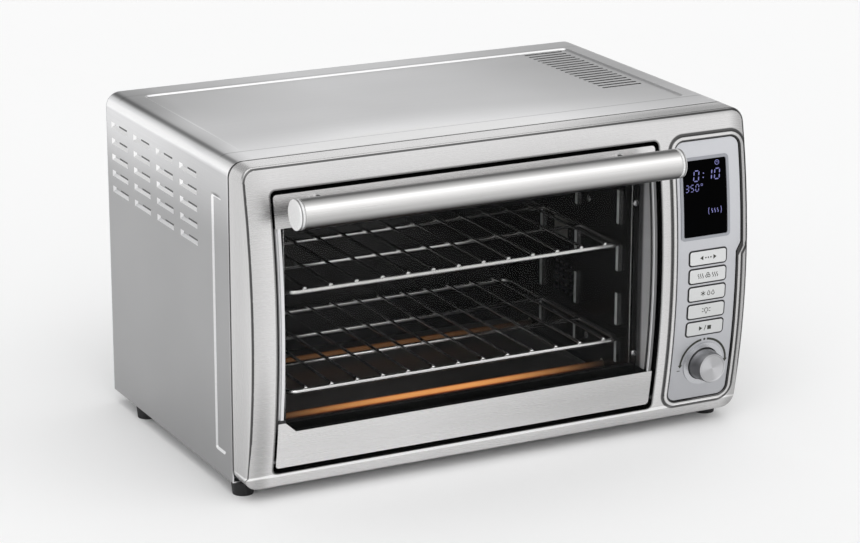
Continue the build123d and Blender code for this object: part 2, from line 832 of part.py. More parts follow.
# ---------------------------------------------------------------- crumb tray
tray_front = front + 6.0
tray_end = back + 0.5
with BuildPart() as crumb_tray:
    with BuildSketch(Plane.XY.offset(tray_low)):
        with Locations((tray_center, (tray_front + tray_end) / 2)):
            Rectangle(tray_width, tray_end - tray_front)
    extrude(amount=tray_rim)
    with BuildSketch(Plane.XY.offset(tray_low + tray_wall)):
        with Locations((tray_center, (tray_front + tray_end) / 2)):
            Rectangle(tray_width - 2 * tray_wall, tray_end - tray_front - 2 * tray_wall)
    extrude(amount=tray_rim, mode=Mode.SUBTRACT)
    with BuildSketch(Plane.XZ.offset(-tray_end)):
        with Locations((tray_center, tray_low + tray_rim / 2 - 3.0)):
            RectangleRounded(90.0, tray_rim + 6.0, 2.5)
    extrude(amount=-tray_lip)
save(crumb_tray, "crumb_tray")


# ---------------------------------------------------------------- fan, lamp and sensor
outer_wall_x = cavity_right + liner_wall        # outside of the cavity's right wall
right_wall = Plane.YZ.offset(outer_wall_x)
fan_back_x = outer_wall_x + housing_depth

with BuildPart() as fan_housing:
    with BuildSketch(right_wall):
        with Locations((fan_y, fan_z)):
            Circle(housing_radius)
    extrude(amount=housing_depth)
    with BuildSketch(right_wall):
        with Locations((fan_y, fan_z)):
            Circle(housing_radius - liner_wall)
    extrude(amount=housing_depth - liner_wall, mode=Mode.SUBTRACT)
    with BuildSketch(right_wall):
        with Locations((fan_y, fan_z)):
            Circle(housing_radius + 4.0)
            Circle(housing_radius - 0.5, mode=Mode.SUBTRACT)
    extrude(amount=liner_wall)
    with BuildSketch(right_wall):
        with Locations((fan_y, fan_z)):
            Circle(shaft_radius + 1.0)
    extrude(amount=housing_depth + 1, mode=Mode.SUBTRACT)
save(fan_housing, "fan_housing")

with BuildPart() as fan_motor:
    with BuildSketch(Plane.YZ.offset(fan_back_x)):
        with Locations((fan_y, fan_z)):
            Circle(motor_radius)
    extrude(amount=motor_length)
    with BuildSketch(Plane.YZ.offset(fan_back_x)):
        with Locations((fan_y, fan_z)):
            Circle(shaft_radius + running_gap)
    extrude(amount=motor_length - 4.0, mode=Mode.SUBTRACT)
save(fan_motor, "fan_motor")

with BuildPart() as fan_shaft:
    with BuildSketch(Plane.YZ.offset(outer_wall_x + fan_gap + 1.0)):
        with Locations((fan_y, fan_z)):
            Circle(shaft_radius)
    extrude(amount=housing_depth - fan_gap + motor_length - 6.0)
save(fan_shaft, "fan_shaft")

with BuildPart() as fan_impeller:
    with BuildSketch(Plane.YZ.offset(outer_wall_x + fan_gap)):
        with Locations((fan_y, fan_z)):
            Circle(fan_hub_radius)
    extrude(amount=fan_depth)
    with BuildSketch(Plane.YZ.offset(outer_wall_x + fan_gap + fan_depth - 1.0)):
        with Locations((fan_y, fan_z)):
            Circle(fan_radius - 2.0)
    extrude(amount=1.0)
    with BuildSketch(Plane.YZ.offset(outer_wall_x + fan_gap)):
        with Locations((fan_y, fan_z)):
            with PolarLocations(0, fan_blade_count):
                with Locations(((fan_radius + fan_hub_radius - 1.0) / 2, 0)):
                    Rectangle(fan_radius - fan_hub_radius + 1.0, 0.9)
    extrude(amount=fan_depth)
    with BuildSketch(Plane.YZ.offset(outer_wall_x + fan_gap)):
        with Locations((fan_y, fan_z)):
            Circle(shaft_radius + 0.1)
    extrude(amount=fan_depth + 1, mode=Mode.SUBTRACT)
    with BuildSketch(Plane.YZ.offset(outer_wall_x + fan_gap)):
        with Locations((fan_y, fan_z)):
            Circle(fan_hub_radius - 0.5)
    extrude(amount=0.8)
save(fan_impeller, "fan_impeller")

lens_x = outer_wall_x + 0.1
with BuildPart() as lamp_lens:
    with BuildSketch(Plane.YZ.offset(lens_x)):
        with Locations((lamp_y, lamp_z)):
            RectangleRounded(lamp_width + 2 * lamp_lap, lamp_height + 2 * lamp_lap, 2.0)
    extrude(amount=2.0)
save(lamp_lens, "lamp_lens")

with BuildPart() as lamp_holder:
    with BuildSketch(right_wall):
        with Locations((lamp_y, lamp_z)):
            RectangleRounded(lamp_width + 4 * lamp_lap, lamp_height + 4 * lamp_lap, 3.0)
            RectangleRounded(lamp_width + 2 * lamp_lap + 0.4, lamp_height + 2 * lamp_lap + 0.4, 2.0,
                             mode=Mode.SUBTRACT)
    extrude(amount=lamp_box_depth)
    with BuildSketch(Plane.YZ.offset(outer_wall_x + lamp_box_depth)):
        with Locations((lamp_y, lamp_z)):
            RectangleRounded(lamp_width + 4 * lamp_lap, lamp_height + 4 * lamp_lap, 3.0)
            Circle(bulb_radius - 1.5, mode=Mode.SUBTRACT)
    extrude(amount=1.5)
save(lamp_holder, "lamp_holder")

with BuildPart() as lamp_bulb:
    with BuildSketch(Plane.YZ.offset(outer_wall_x + lamp_box_depth - 0.1)):
        with Locations((lamp_y, lamp_z)):
            Circle(bulb_radius)
    extrude(amount=-bulb_length)
    chamfer(lamp_bulb.faces().sort_by(Axis.X)[0].edges(), length=bulb_radius / 2)
    with BuildSketch(Plane.YZ.offset(outer_wall_x + lamp_box_depth - 0.2)):
        with Locations((lamp_y, lamp_z)):
            Circle(bulb_radius - 1.6)
    extrude(amount=6.0)
save(lamp_bulb, "lamp_bulb")

with BuildPart() as temperature_sensor:
    with BuildSketch(right_wall.offset(0.1)):
        with Locations((sensor_y, sensor_z)):
            Circle(sensor_radius)
    extrude(amount=-sensor_reach)
    with BuildSketch(right_wall.offset(0.1)):
        with Locations((sensor_y, sensor_z)):
            RegularPolygon(6.0, 6)
    extrude(amount=8.0)
save(temperature_sensor, "temperature_sensor")

# ---------------------------------------------------------------- control panel
display_x = display_center_x
display_z = bottom + display_rise
surround_width = display_width + 2 * display_border
surround_height = display_height + 2 * display_border
button_zs = [bottom + button_rise - button_pitch * step for step in range(button_count)]
panel_back_inset = panel_recess + panel_wall
seat_line = 0.1
stop_lip = 1.0
knob_hole = round_bar(knob_center_x, front, knob_z, knob_base_radius + knob_gap, front_reach,
                      Plane(origin=(0, 0, 0), x_dir=(1, 0, 0), z_dir=(0, -1, 0)))
post_places = [(175.0, bottom + 26.0), (222.0, bottom + 26.0), (223.0, bottom + 246.0),
               (172.5, bottom + 246.0)]
post_side = 4.4
panel_plug = panel_outline(-panel_gap, front, front_reach) & wide_skin(panel_recess, panel_wall)
panel_ledge = panel_outline(panel_flange, front, front_reach) & wide_skin(
    bezel_wall + seat_gap, panel_back_inset - bezel_wall - seat_gap)
front_space = front_block(-half_width, half_width, bottom, top, panel_recess + 1.0, front)

with BuildPart() as panel_posts:
    with BuildSketch(Plane.XZ.offset(-board_y)):
        with Locations(*post_places):
            Rectangle(post_side, post_side)
    extrude(amount=front_reach)
    add(front_space, mode=Mode.INTERSECT)

with BuildPart() as control_panel:
    add(panel_plug)
    add(panel_ledge)
    add(panel_posts.part)
    with BuildSketch(Plane.XZ.offset(-front)):
        with Locations((display_x, display_z)):
            RectangleRounded(display_width + window_play, display_height + window_play, window_corner)
        for button_z in button_zs:
            with Locations((button_center_x, button_z)):
                RectangleRounded(button_width + 2 * button_gap, button_height + 2 * button_gap, button_corner)
    extrude(amount=front_reach, mode=Mode.SUBTRACT)
    add(knob_hole, mode=Mode.SUBTRACT)
save(control_panel, "control_panel")

surround_outer = rounded_prism(display_x, display_z, surround_width, surround_height, surround_corner,
                               front, front_limit)
surround_skirt = rounded_prism(display_x, display_z, display_width + skirt_play, display_height + skirt_play,
                               skirt_corner, front, front_limit)
surround_bore = rounded_prism(display_x, display_z, display_width, display_height, surround_bore_corner,
                              front + 1, front_limit - 1)
with BuildPart() as display_surround:
    add(surround_outer & wide_skin(panel_recess - surround_proud, surround_wall))
    add(surround_skirt & wide_skin(panel_recess - skirt_proud, panel_wall + skirt_proud))
    add(surround_bore, mode=Mode.SUBTRACT)
save(display_surround, "display_surround")

lens_outer = rounded_prism(display_x, display_z, display_width - lens_play, display_height - lens_play,
                           lens_corner, front, front_limit)
with BuildPart() as display_lens:
    add(lens_outer & wide_skin(panel_recess - lens_proud, lens_thickness))
save(display_lens, "display_lens")

module_form = rounded_prism(display_x, display_z, display_width - module_play,
                            display_height - module_play, module_corner, front, front_limit)
with BuildPart() as display_module:
    add(module_form & front_block(panel_left, panel_right, display_z - display_height,
                                  min(display_z + display_height, top), panel_recess + lens_thickness,
                                  board_y - seat_line))
save(display_module, "display_module")

with BuildPart() as control_board:
    with BuildSketch(Plane.XZ.offset(-(board_y + board_wall))):
        with Locations(((panel_left + panel_right) / 2, (panel_bottom + panel_top) / 2)):
            RectangleRounded(panel_right - panel_left - board_margin, panel_top - panel_bottom - board_margin,
                             board_corner)
    extrude(amount=board_wall)
    # Parts soldered to its rear side: relay, transformer and connector.
    with BuildSketch(Plane.XZ.offset(-(board_y + board_wall))):
        for places, size in (
            (relay_places, relay_size),
            ((transformer_place,), transformer_size),
            ((connector_place,), connector_size),
        ):
            with Locations(*[(x, bottom + rise) for x, rise in places]):
                Rectangle(*size)
    extrude(amount=-component_depth)
save(control_board, "control_board")

switch_depth = 4.0
with BuildPart() as button_switches:
    for button_z in button_zs:
        cap_back = face_y(button_z, -button_proud) + button_length
        with BuildSketch(Plane.XZ.offset(-(board_y - seat_line))):
            with Locations((button_center_x, button_z)):
                Rectangle(switch_width, switch_width)
        extrude(amount=switch_depth)
        with BuildSketch(Plane.XZ.offset(-(board_y - switch_depth))):
            with Locations((button_center_x, button_z)):
                Rectangle(plunger_width, plunger_width)
        extrude(amount=board_y - switch_depth - cap_back - button_travel - seat_gap)
save(button_switches, "button_switches")

for step, button_z in enumerate(button_zs):
    cap_form = rounded_prism(button_center_x, button_z, button_width, button_height, button_corner,
                             front, front_limit)
    cap_back = face_y(button_z, -button_proud) + button_length
    cap_core = front_block(panel_left, panel_right, button_z - button_height, button_z + button_height,
                           -button_proud, cap_back)
    lip_x = button_center_x - button_width / 2 - stop_lip
    lip_z = button_z - button_height / 2 - stop_lip
    lip_core = front_block(lip_x, lip_x + button_width + 2 * stop_lip,
                           lip_z, lip_z + button_height + 2 * stop_lip, panel_back_inset + seat_gap, cap_back)
    with BuildPart() as button:
        add(cap_form & cap_core)
        chamfer(button.faces().sort_by(Axis.Y)[0].edges(), length=button_bevel)
        add(lip_core)
    save(button, f"button_{step + 1}")

ring_form = round_bar(knob_center_x, front, knob_z, knob_ring_radius, front_reach,
                      Plane(origin=(0, 0, 0), x_dir=(1, 0, 0), z_dir=(0, -1, 0)))
with BuildPart() as knob_ring:
    add(ring_form & wide_skin(panel_recess - knob_ring_height, knob_ring_height - seat_line))
    add(knob_hole, mode=Mode.SUBTRACT)
save(knob_ring, "knob_ring")

knob_tip_y = face_y(knob_z) - knob_proud
knob_end_y = knob_tip_y + knob_length
knob_side_y = knob_tip_y + knob_proud
knob_plane = Plane(origin=(knob_center_x, 0, knob_z), x_dir=(1, 0, 0), z_dir=(0, 0, 1))
knob_wall = 2.0
with BuildPart() as knob:
    with BuildSketch(knob_plane):
        with BuildLine():
            Polyline(
                (0, knob_tip_y + knob_dish),
                (knob_tip_radius - knob_dish_inset, knob_tip_y + knob_dish_rim),
                (knob_tip_radius - knob_land_inset, knob_tip_y),
                (knob_tip_radius - knob_bevel_inset, knob_tip_y),
                (knob_tip_radius, knob_tip_y + knob_bevel_length),
                (knob_base_radius, knob_side_y),
                (knob_base_radius, knob_end_y),
                (shaft_radius + seat_line, knob_end_y),
                (shaft_radius + seat_line, knob_tip_y + knob_wall + knob_bore_gap),
                (0, knob_tip_y + knob_wall + knob_bore_gap),
                close=True,
            )
        make_face()
    revolve(axis=Axis((knob_center_x, 0, knob_z), (0, 1, 0)))
save(knob, "knob")

encoder_gap = 0.6               # between the encoder and the knob's rear end
encoder_depth = board_y - seat_line - knob_end_y - encoder_gap
front_plane = Plane(origin=(0, 0, 0), x_dir=(1, 0, 0), z_dir=(0, -1, 0))
shaft_end_y = board_y - shaft_end_gap
shaft_start_y = knob_tip_y + knob_wall + knob_bore_gap + seat_line
with BuildPart() as knob_shaft:
    add(round_bar(knob_center_x, shaft_end_y, knob_z, shaft_radius, shaft_end_y - shaft_start_y, front_plane))
save(knob_shaft, "knob_shaft")

with BuildPart() as encoder:
    with BuildSketch(Plane.XZ.offset(-(board_y - seat_line))):
        with Locations((knob_center_x, knob_z)):
            RectangleRounded(encoder_width, encoder_width, encoder_corner)
    extrude(amount=encoder_depth)
    add(round_bar(knob_center_x, shaft_end_y + seat_line, knob_z, shaft_radius + running_gap,
                  front_reach, front_plane), mode=Mode.SUBTRACT)
save(encoder, "encoder")

# ---------------------------------------------------------------- door
door_center = (door_left + door_right) / 2
door_width = door_right - door_left
rail_inset = door_recess + door_wall
top_rail_form = rounded_prism(
    door_center, (glass_top + door_top) / 2 - door_corner, door_width,
    top_rail_height + 2 * door_corner, door_corner, door_back, front_limit,
)
with BuildPart() as door_top_rail:
    add(front_block(door_left, door_right, glass_top, door_top, door_recess, door_back))
    add(top_rail_form, mode=Mode.INTERSECT)
    add(front_block(door_left + door_wall, door_right - door_wall, glass_top - 1, door_top - door_wall,
                    rail_inset, door_back + 1), mode=Mode.SUBTRACT)
    for side in (-1, 1):
        post_x = door_center + side * (door_width / 2 - handle_post_inset)
        add(round_bar(post_x, door_back, handle_z, screw_radius + hole_play, front_reach, front_plane),
            mode=Mode.SUBTRACT)
save(door_top_rail, "door_top_rail")

with BuildPart() as bottom_rail_outline:
    with BuildSketch(Plane.XZ.offset(-door_back)) as rail_sketch:
        with BuildLine():
            Polyline(
                (door_left, door_bottom),
                (door_right, door_bottom),
                (door_right, glass_bottom),
                (door_left + lug_width + lug_slope, glass_bottom),
                (door_left + lug_width, lug_top),
                (door_left, lug_top),
                close=True,
            )
        make_face()
        fillet(rail_sketch.vertices().sort_by(Axis.Y)[0:2], radius=door_corner)
    extrude(amount=front_reach)
pin_hole_bar = round_bar(door_left - 1, pin_y, pin_z, pin_radius + hole_play, door_width + 2, Plane.YZ)
with BuildPart() as door_bottom_rail:
    add(front_block(door_left - 1, door_right + 1, door_bottom - 1, lug_top + 1, door_recess, door_back))
    add(bottom_rail_outline.part, mode=Mode.INTERSECT)
    add(front_block(door_left + door_wall, door_right - door_wall, door_bottom + door_wall, lug_top + 2,
                    rail_inset, door_back + 1), mode=Mode.SUBTRACT)
    add(front_block(door_left - 1, door_right + 1, glass_bottom, lug_top + 2, rail_inset, door_back + 1),
        mode=Mode.SUBTRACT)
    add(pin_hole_bar, mode=Mode.SUBTRACT)
save(door_bottom_rail, "door_bottom_rail")

with BuildPart() as door_corner_clip:
    add(front_block(door_left, door_left + lug_width, lug_top + seat_line, lug_top + clip_height,
                    door_recess - clip_proud, front)
        & wide_skin(door_recess - clip_proud, door_wall + clip_proud))
save(door_corner_clip, "door_corner_clip")

rail_inner = side_rail_width - glass_groove
glass_edge = rail_inner + glass_play                   # glass edge inside the side rails
clip_top = lug_top + clip_height
front_notch = front_block(
    door_left - 1, door_left + side_rail_width + 1, door_bottom, clip_top + seat_line,
    0.0, front) & wide_skin(-1.0, rail_inset + seat_line + 1.0)
step_skin = wide_skin(-1.0, door_recess + side_rail_drop + 1.0)
for name, rail_x, groove_x, step_x, notch in (
    ("door_left_rail", door_left, door_left + rail_inner, door_left - 1.0, front_notch),
    ("door_right_rail", door_right - side_rail_width, door_right - side_rail_width - 1.0,
     door_right - side_rail_step, None),
):
    with BuildPart() as side_rail:
        add(front_block(rail_x, rail_x + side_rail_width, glass_bottom + seat_line, glass_top - seat_line,
                        door_recess, door_back))
        add(front_block(groove_x, groove_x + glass_groove + 1.0, glass_bottom, glass_top,
                        glass_inset - glass_play, front)
            & wide_skin(glass_inset - glass_play, glass_thickness + 2 * glass_play),
            mode=Mode.SUBTRACT)
        step_core = front_block(step_x, step_x + side_rail_step + 1.0, glass_bottom, glass_top, 0.0, front)
        add(step_core & step_skin, mode=Mode.SUBTRACT)
        if notch:
            add(notch, mode=Mode.SUBTRACT)
    save(side_rail, name)

with BuildPart() as door_glass:
    add(front_skin(door_left + glass_edge, door_right - glass_edge, glass_bottom - glass_tuck,
                   glass_top + glass_tuck, glass_inset, glass_thickness))
save(door_glass, "door_glass")

seal_front = rail_inset + seat_line
seal_depth = glass_inset - seal_front - seat_line
with BuildPart() as glass_seals:
    for low in (glass_bottom - glass_tuck, glass_top + 1.0):
        add(front_skin(door_left + side_rail_width, door_right - side_rail_width, low, low + glass_tuck - 1.0,
                       seal_front, seal_depth))
        add(front_skin(door_left + side_rail_width, door_right - side_rail_width, low, low + glass_tuck - 1.0,
                       glass_inset + glass_thickness + seat_line, seal_depth))
save(glass_seals, "glass_seals")

frame_y = door_back + seat_line
with BuildPart() as door_inner_frame:
    with BuildSketch(Plane.XZ.offset(-(frame_y + inner_frame_wall))):
        with Locations((door_center, (door_bottom + door_top) / 2)):
            RectangleRounded(door_width, door_top - door_bottom, door_corner)
        with Locations((door_center, (glass_bottom + glass_top) / 2)):
            RectangleRounded(door_width - 2 * side_rail_width, glass_top - glass_bottom,
                             frame_window_corner, mode=Mode.SUBTRACT)
    extrude(amount=inner_frame_wall)
    # Folded edge round the window that reaches forward to the glass.
    with BuildSketch(Plane.XZ.offset(-(frame_y + inner_frame_wall / 2))):
        with Locations((door_center, (glass_bottom + glass_top) / 2)):
            RectangleRounded(door_width - 2 * side_rail_width, glass_top - glass_bottom, frame_window_corner)
            RectangleRounded(door_width - 2 * side_rail_width - 2 * frame_fold_wall,
                             glass_top - glass_bottom - 2 * frame_fold_wall,
                             frame_fold_corner, mode=Mode.SUBTRACT)
    extrude(amount=inner_frame_wall / 2 + frame_fold_reach)
save(door_inner_frame, "door_inner_frame")

block_height = 20.0
block_front = face_y(door_bottom) + rail_inset + block_front_gap
with BuildPart() as hinge_blocks:
    for block_x in (door_left + door_wall + seat_line, door_right - door_wall - seat_line - pin_engagement):
        with BuildSketch(Plane.XY.offset(door_bottom + door_wall + seat_line)):
            with Locations((block_x + pin_engagement / 2, (block_front + door_back) / 2)):
                Rectangle(pin_engagement, door_back - block_front)
        extrude(amount=block_height)
    add(pin_hole_bar, mode=Mode.SUBTRACT)
save(hinge_blocks, "hinge_blocks")

bracket_inner = opening_left - bezel_wall - seat_gap
pin_outer = bracket_inner - bracket_wall - pin_end_proud
pin_length = door_left + pin_engagement - pin_outer
with BuildPart() as hinge_pins:
    add(round_bar(pin_outer, pin_y, pin_z, pin_radius, pin_length, Plane.YZ))
    far_pin_x = 2 * opening_center - pin_outer - pin_length
    add(round_bar(far_pin_x, pin_y, pin_z, pin_radius, pin_length, Plane.YZ))
save(hinge_pins, "hinge_pins")

bracket_low = pin_z - bracket_drop
bracket_high = pin_z + bracket_rise
bracket_front = face_y(bracket_low, bezel_wall) + seat_gap
tab_width = 12.0
bracket_back = flange_y - seat_line
cut_margin = 20.0
pin_bearing = round_bar(opening_left - cut_margin, pin_y, pin_z, pin_radius + running_gap,
                        opening_width + 2 * cut_margin, Plane.YZ)
with BuildPart() as hinge_brackets:
    for side in (-1, 1):
        plate_x = opening_center + side * (opening_width / 2 + bezel_wall + seat_gap + bracket_wall / 2)
        tab_x = opening_center + side * (opening_width / 2 + bezel_wall + seat_gap + tab_width / 2)
        with BuildSketch(Plane.XY.offset(bracket_low)):
            with Locations((plate_x, (bracket_front + bracket_back) / 2)):
                Rectangle(bracket_wall, bracket_back - bracket_front)
            with Locations((tab_x, bracket_back - bracket_wall / 2)):
                Rectangle(tab_width, bracket_wall)
        extrude(amount=bracket_high - bracket_low)
    add(pin_bearing, mode=Mode.SUBTRACT)
save(hinge_brackets, "hinge_brackets")

# ---------------------------------------------------------------- handle
groove_width = 0.8
bar_left = door_left + handle_cap_length
bar_length = door_width - 2 * handle_cap_length
handle_axis_plane = Plane(origin=(0, handle_y, handle_z), x_dir=(0, 1, 0), z_dir=(1, 0, 0))
with BuildPart() as handle_bar:
    with BuildSketch(handle_axis_plane.offset(bar_left)):
        Circle(handle_radius)
        Circle(handle_radius - handle_wall, mode=Mode.SUBTRACT)
    extrude(amount=bar_length)
    for side in (-1, 1):
        post_x = door_center + side * (door_width / 2 - handle_post_inset)
        add(round_bar(post_x, handle_y + handle_radius + 1, handle_z, screw_radius + hole_play,
                      handle_radius, front_plane), mode=Mode.SUBTRACT)
save(handle_bar, "handle_bar")

with BuildPart() as handle_end_caps:
    for start, outward in ((bar_left, -1), (bar_left + bar_length, 1)):
        with BuildSketch(handle_axis_plane.offset(start)):
            Circle(handle_radius - handle_cap_groove)
        extrude(amount=outward * (groove_width + handle_cap_lap))
        with BuildSketch(handle_axis_plane.offset(start + outward * groove_width)):
            Circle(handle_radius)
        extrude(amount=outward * (handle_cap_length - groove_width))
    for end_face in (handle_end_caps.faces().sort_by(Axis.X)[0], handle_end_caps.faces().sort_by(Axis.X)[-1]):
        chamfer(end_face.edges(), length=handle_cap_dome, length2=handle_cap_dome / 2)
save(handle_end_caps, "handle_end_caps")

post_front = handle_y + post_tip
skin_y = face_y(handle_z, door_recess)
post_start = skin_y + post_root
bar_clear = round_bar(door_left - 1, handle_y, handle_z, handle_radius + seat_line, door_width + 2, Plane.YZ)
door_clear = front_block(-half_width, half_width, bottom, top, door_recess - seat_line, front + 1)
with BuildPart() as handle_posts:
    for side in (-1, 1):
        post_x = door_center + side * (door_width / 2 - handle_post_inset)
        add(round_bar(post_x, post_start, handle_z, handle_post_radius, post_start - post_front, front_plane))
    add(bar_clear, mode=Mode.SUBTRACT)
    add(door_clear, mode=Mode.SUBTRACT)
    for side in (-1, 1):
        post_x = door_center + side * (door_width / 2 - handle_post_inset)
        add(round_bar(post_x, skin_y + post_hole_root, handle_z, screw_radius + hole_play,
                      front_reach, front_plane), mode=Mode.SUBTRACT)
save(handle_posts, "handle_posts")

screw_seat_y = face_y(handle_z + screw_head, rail_inset) + seat_line
with BuildPart() as handle_screws:
    for side in (-1, 1):
        post_x = door_center + side * (door_width / 2 - handle_post_inset)
        add(round_bar(post_x, screw_seat_y + handle_screw_head_height, handle_z, screw_head,
                      handle_screw_head_height, front_plane))
        add(round_bar(post_x, screw_seat_y, handle_z, screw_radius,
                      screw_seat_y - handle_y - handle_radius + screw_bite, front_plane))
save(handle_screws, "handle_screws")
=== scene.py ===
import bpy
import bmesh
import json
import math
import numpy as np
from mathutils import Matrix, Vector

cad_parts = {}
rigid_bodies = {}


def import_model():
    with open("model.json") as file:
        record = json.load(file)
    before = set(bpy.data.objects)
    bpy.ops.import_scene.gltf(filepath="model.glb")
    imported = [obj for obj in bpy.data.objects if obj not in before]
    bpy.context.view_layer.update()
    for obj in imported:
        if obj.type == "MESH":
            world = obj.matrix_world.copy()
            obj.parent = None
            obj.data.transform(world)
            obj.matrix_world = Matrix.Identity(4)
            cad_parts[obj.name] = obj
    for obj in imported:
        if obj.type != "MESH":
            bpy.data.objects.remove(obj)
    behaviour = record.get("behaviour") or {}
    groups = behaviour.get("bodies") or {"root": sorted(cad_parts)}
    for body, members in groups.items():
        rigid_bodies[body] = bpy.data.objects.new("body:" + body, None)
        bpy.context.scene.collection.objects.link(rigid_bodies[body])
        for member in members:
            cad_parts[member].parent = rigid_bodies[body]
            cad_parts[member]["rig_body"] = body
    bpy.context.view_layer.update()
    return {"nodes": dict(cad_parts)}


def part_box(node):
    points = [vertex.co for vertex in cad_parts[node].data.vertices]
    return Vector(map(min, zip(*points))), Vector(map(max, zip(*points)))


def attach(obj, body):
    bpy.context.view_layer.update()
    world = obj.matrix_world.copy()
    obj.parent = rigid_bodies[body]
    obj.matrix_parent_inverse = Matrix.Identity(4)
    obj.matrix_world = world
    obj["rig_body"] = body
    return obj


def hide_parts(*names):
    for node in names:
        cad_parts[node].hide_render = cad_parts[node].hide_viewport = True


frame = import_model()
nodes = frame["nodes"]
print("frame loaded:", len(nodes), "pieces")

# The front is part of a cylinder that runs along X: it bows by "bulge" over its whole height.
bow = {"plane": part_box("outer_casing")[0].y - 0.0004, "edge": 0.025, "bulge": 0.016, "half": 0.139,
       "low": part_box("front_bezel")[0].z}
bow["middle"] = bow["low"] + bow["half"]
bow["radius"] = (bow["half"] ** 2 + bow["bulge"] ** 2) / (2 * bow["bulge"])
bow["axis"] = bow["plane"] - bow["edge"] - bow["bulge"] + bow["radius"]
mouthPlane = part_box("cavity_liner")[0].y
linerWall = {"right": 0.1415, "left": -0.1930, "crest": 0.006}      # inner faces, and their beads' height


def faceY(z, inset=0.0):
    # the axis less the height of the circle over z
    return bow["axis"] - np.sqrt((bow["radius"] - inset) ** 2 - (z - bow["middle"]) ** 2)


def hexColour(text):
    # sRGB hex to the linear colour that shader sockets take
    channels = np.array([int(text[i:i + 2], 16) for i in (1, 3, 5)]) / 255
    linear = np.where(channels <= 0.04045, channels / 12.92, ((channels + 0.055) / 1.055) ** 2.4)
    return (*[float(c) for c in linear], 1.0)


def addNode(tree, kind, inputs=None, **settings):
    # adds one node, sets its settings, and fills or links its sockets
    node = tree.nodes.new("ShaderNode" + kind)
    for name, value in settings.items():
        setattr(node, name, value)
    for key, value in (inputs or {}).items():
        if isinstance(value, bpy.types.NodeSocket):
            tree.links.new(value, node.inputs[key])
        else:
            node.inputs[key].default_value = value
    return node


def maths(tree, operation, *values):
    return addNode(tree, "Math", dict(enumerate(values)), operation=operation).outputs[0]


def vectors(tree, operation, *values):
    # a length or a dot product is a number, which has a socket of its own
    node = addNode(tree, "VectorMath", dict(enumerate(values)), operation=operation)
    return node.outputs["Value" if operation in ("LENGTH", "DOT_PRODUCT") else 0]


def scaled(tree, colour, share):
    return addNode(tree, "VectorMath", {0: colour, "Scale": share}, operation="SCALE").outputs[0]


def ramp(tree, value, low, high, before=0.0, after=1.0, kind="LINEAR"):
    return addNode(tree, "MapRange", {0: value, 1: low, 2: high, 3: before, 4: after},
                   interpolation_type=kind).outputs[0]


def softRamp(tree, value, low, high, before=0.0, after=1.0):
    return ramp(tree, value, low, high, before, after, "SMOOTHSTEP")


def blend(tree, share, first, second):
    return addNode(tree, "Mix", {0: share, 6: first, 7: second}, data_type="RGBA").outputs[2]


def noise(tree, place, scale, detail):
    return addNode(tree, "TexNoise", {"Vector": place, "Scale": scale, "Detail": detail}).outputs[0]


def bumped(tree, shader, height, strength, distance=0.0001):
    bump = addNode(tree, "Bump", {"Height": height, "Strength": strength, "Distance": distance})
    tree.links.new(bump.outputs[0], shader.inputs["Normal"])


class Readings(dict):
    # What a pattern can follow, each made when it is first asked for: the place (x, y, z), the way the
    # surface faces (nx, ny, nz, and sideways, which is nx without its sign), its depth behind the bowed
    # front, which is the bow's radius less the distance from its axis, how flush it lies with the bow, and
    # bend, which is flush with 1 added where the surface faces down.
    def __missing__(self, name):
        tree = self["tree"]
        if name == "spot":
            value = addNode(tree, "TexCoord").outputs
        elif name == "place":
            value = self["spot"]["Object"]
        elif name in ("where", "facing"):
            value = addNode(tree, "SeparateXYZ", {
                "Vector": self["spot"]["Object" if name == "where" else "Normal"]}).outputs
        elif name[-1] in "xyz":
            value = self["facing" if name[0] == "n" else "where"]["xyz".index(name[-1])]
        elif name == "arm":
            away = vectors(tree, "SUBTRACT", self["place"], (0.0, bow["axis"], bow["middle"]))
            value = vectors(tree, "MULTIPLY", away, (0.0, 1.0, 1.0))
        elif name == "depth":
            value = maths(tree, "SUBTRACT", bow["radius"], vectors(tree, "LENGTH", self["arm"]))
        elif name == "flush":
            ray = vectors(tree, "NORMALIZE", self["arm"])
            value = vectors(tree, "DOT_PRODUCT", ray, self["spot"]["Normal"])
        elif name == "sideways":
            value = maths(tree, "ABSOLUTE", self["nx"])
        elif name == "bend":
            value = maths(tree, "ADD", self["flush"], ramp(tree, self["nz"], -0.15, -0.4))
        self[name] = value
        return value


def newMaterial(name, surface):
    # an empty material whose Principled sockets come from a dictionary, and what its patterns can follow
    material = bpy.data.materials.new(name)
    material.use_nodes = True
    tree = material.node_tree
    tree.nodes.clear()
    shader = addNode(tree, "BsdfPrincipled", surface)
    addNode(tree, "OutputMaterial", {"Surface": shader.outputs[0]})
    return material, tree, shader, Readings(tree=tree)


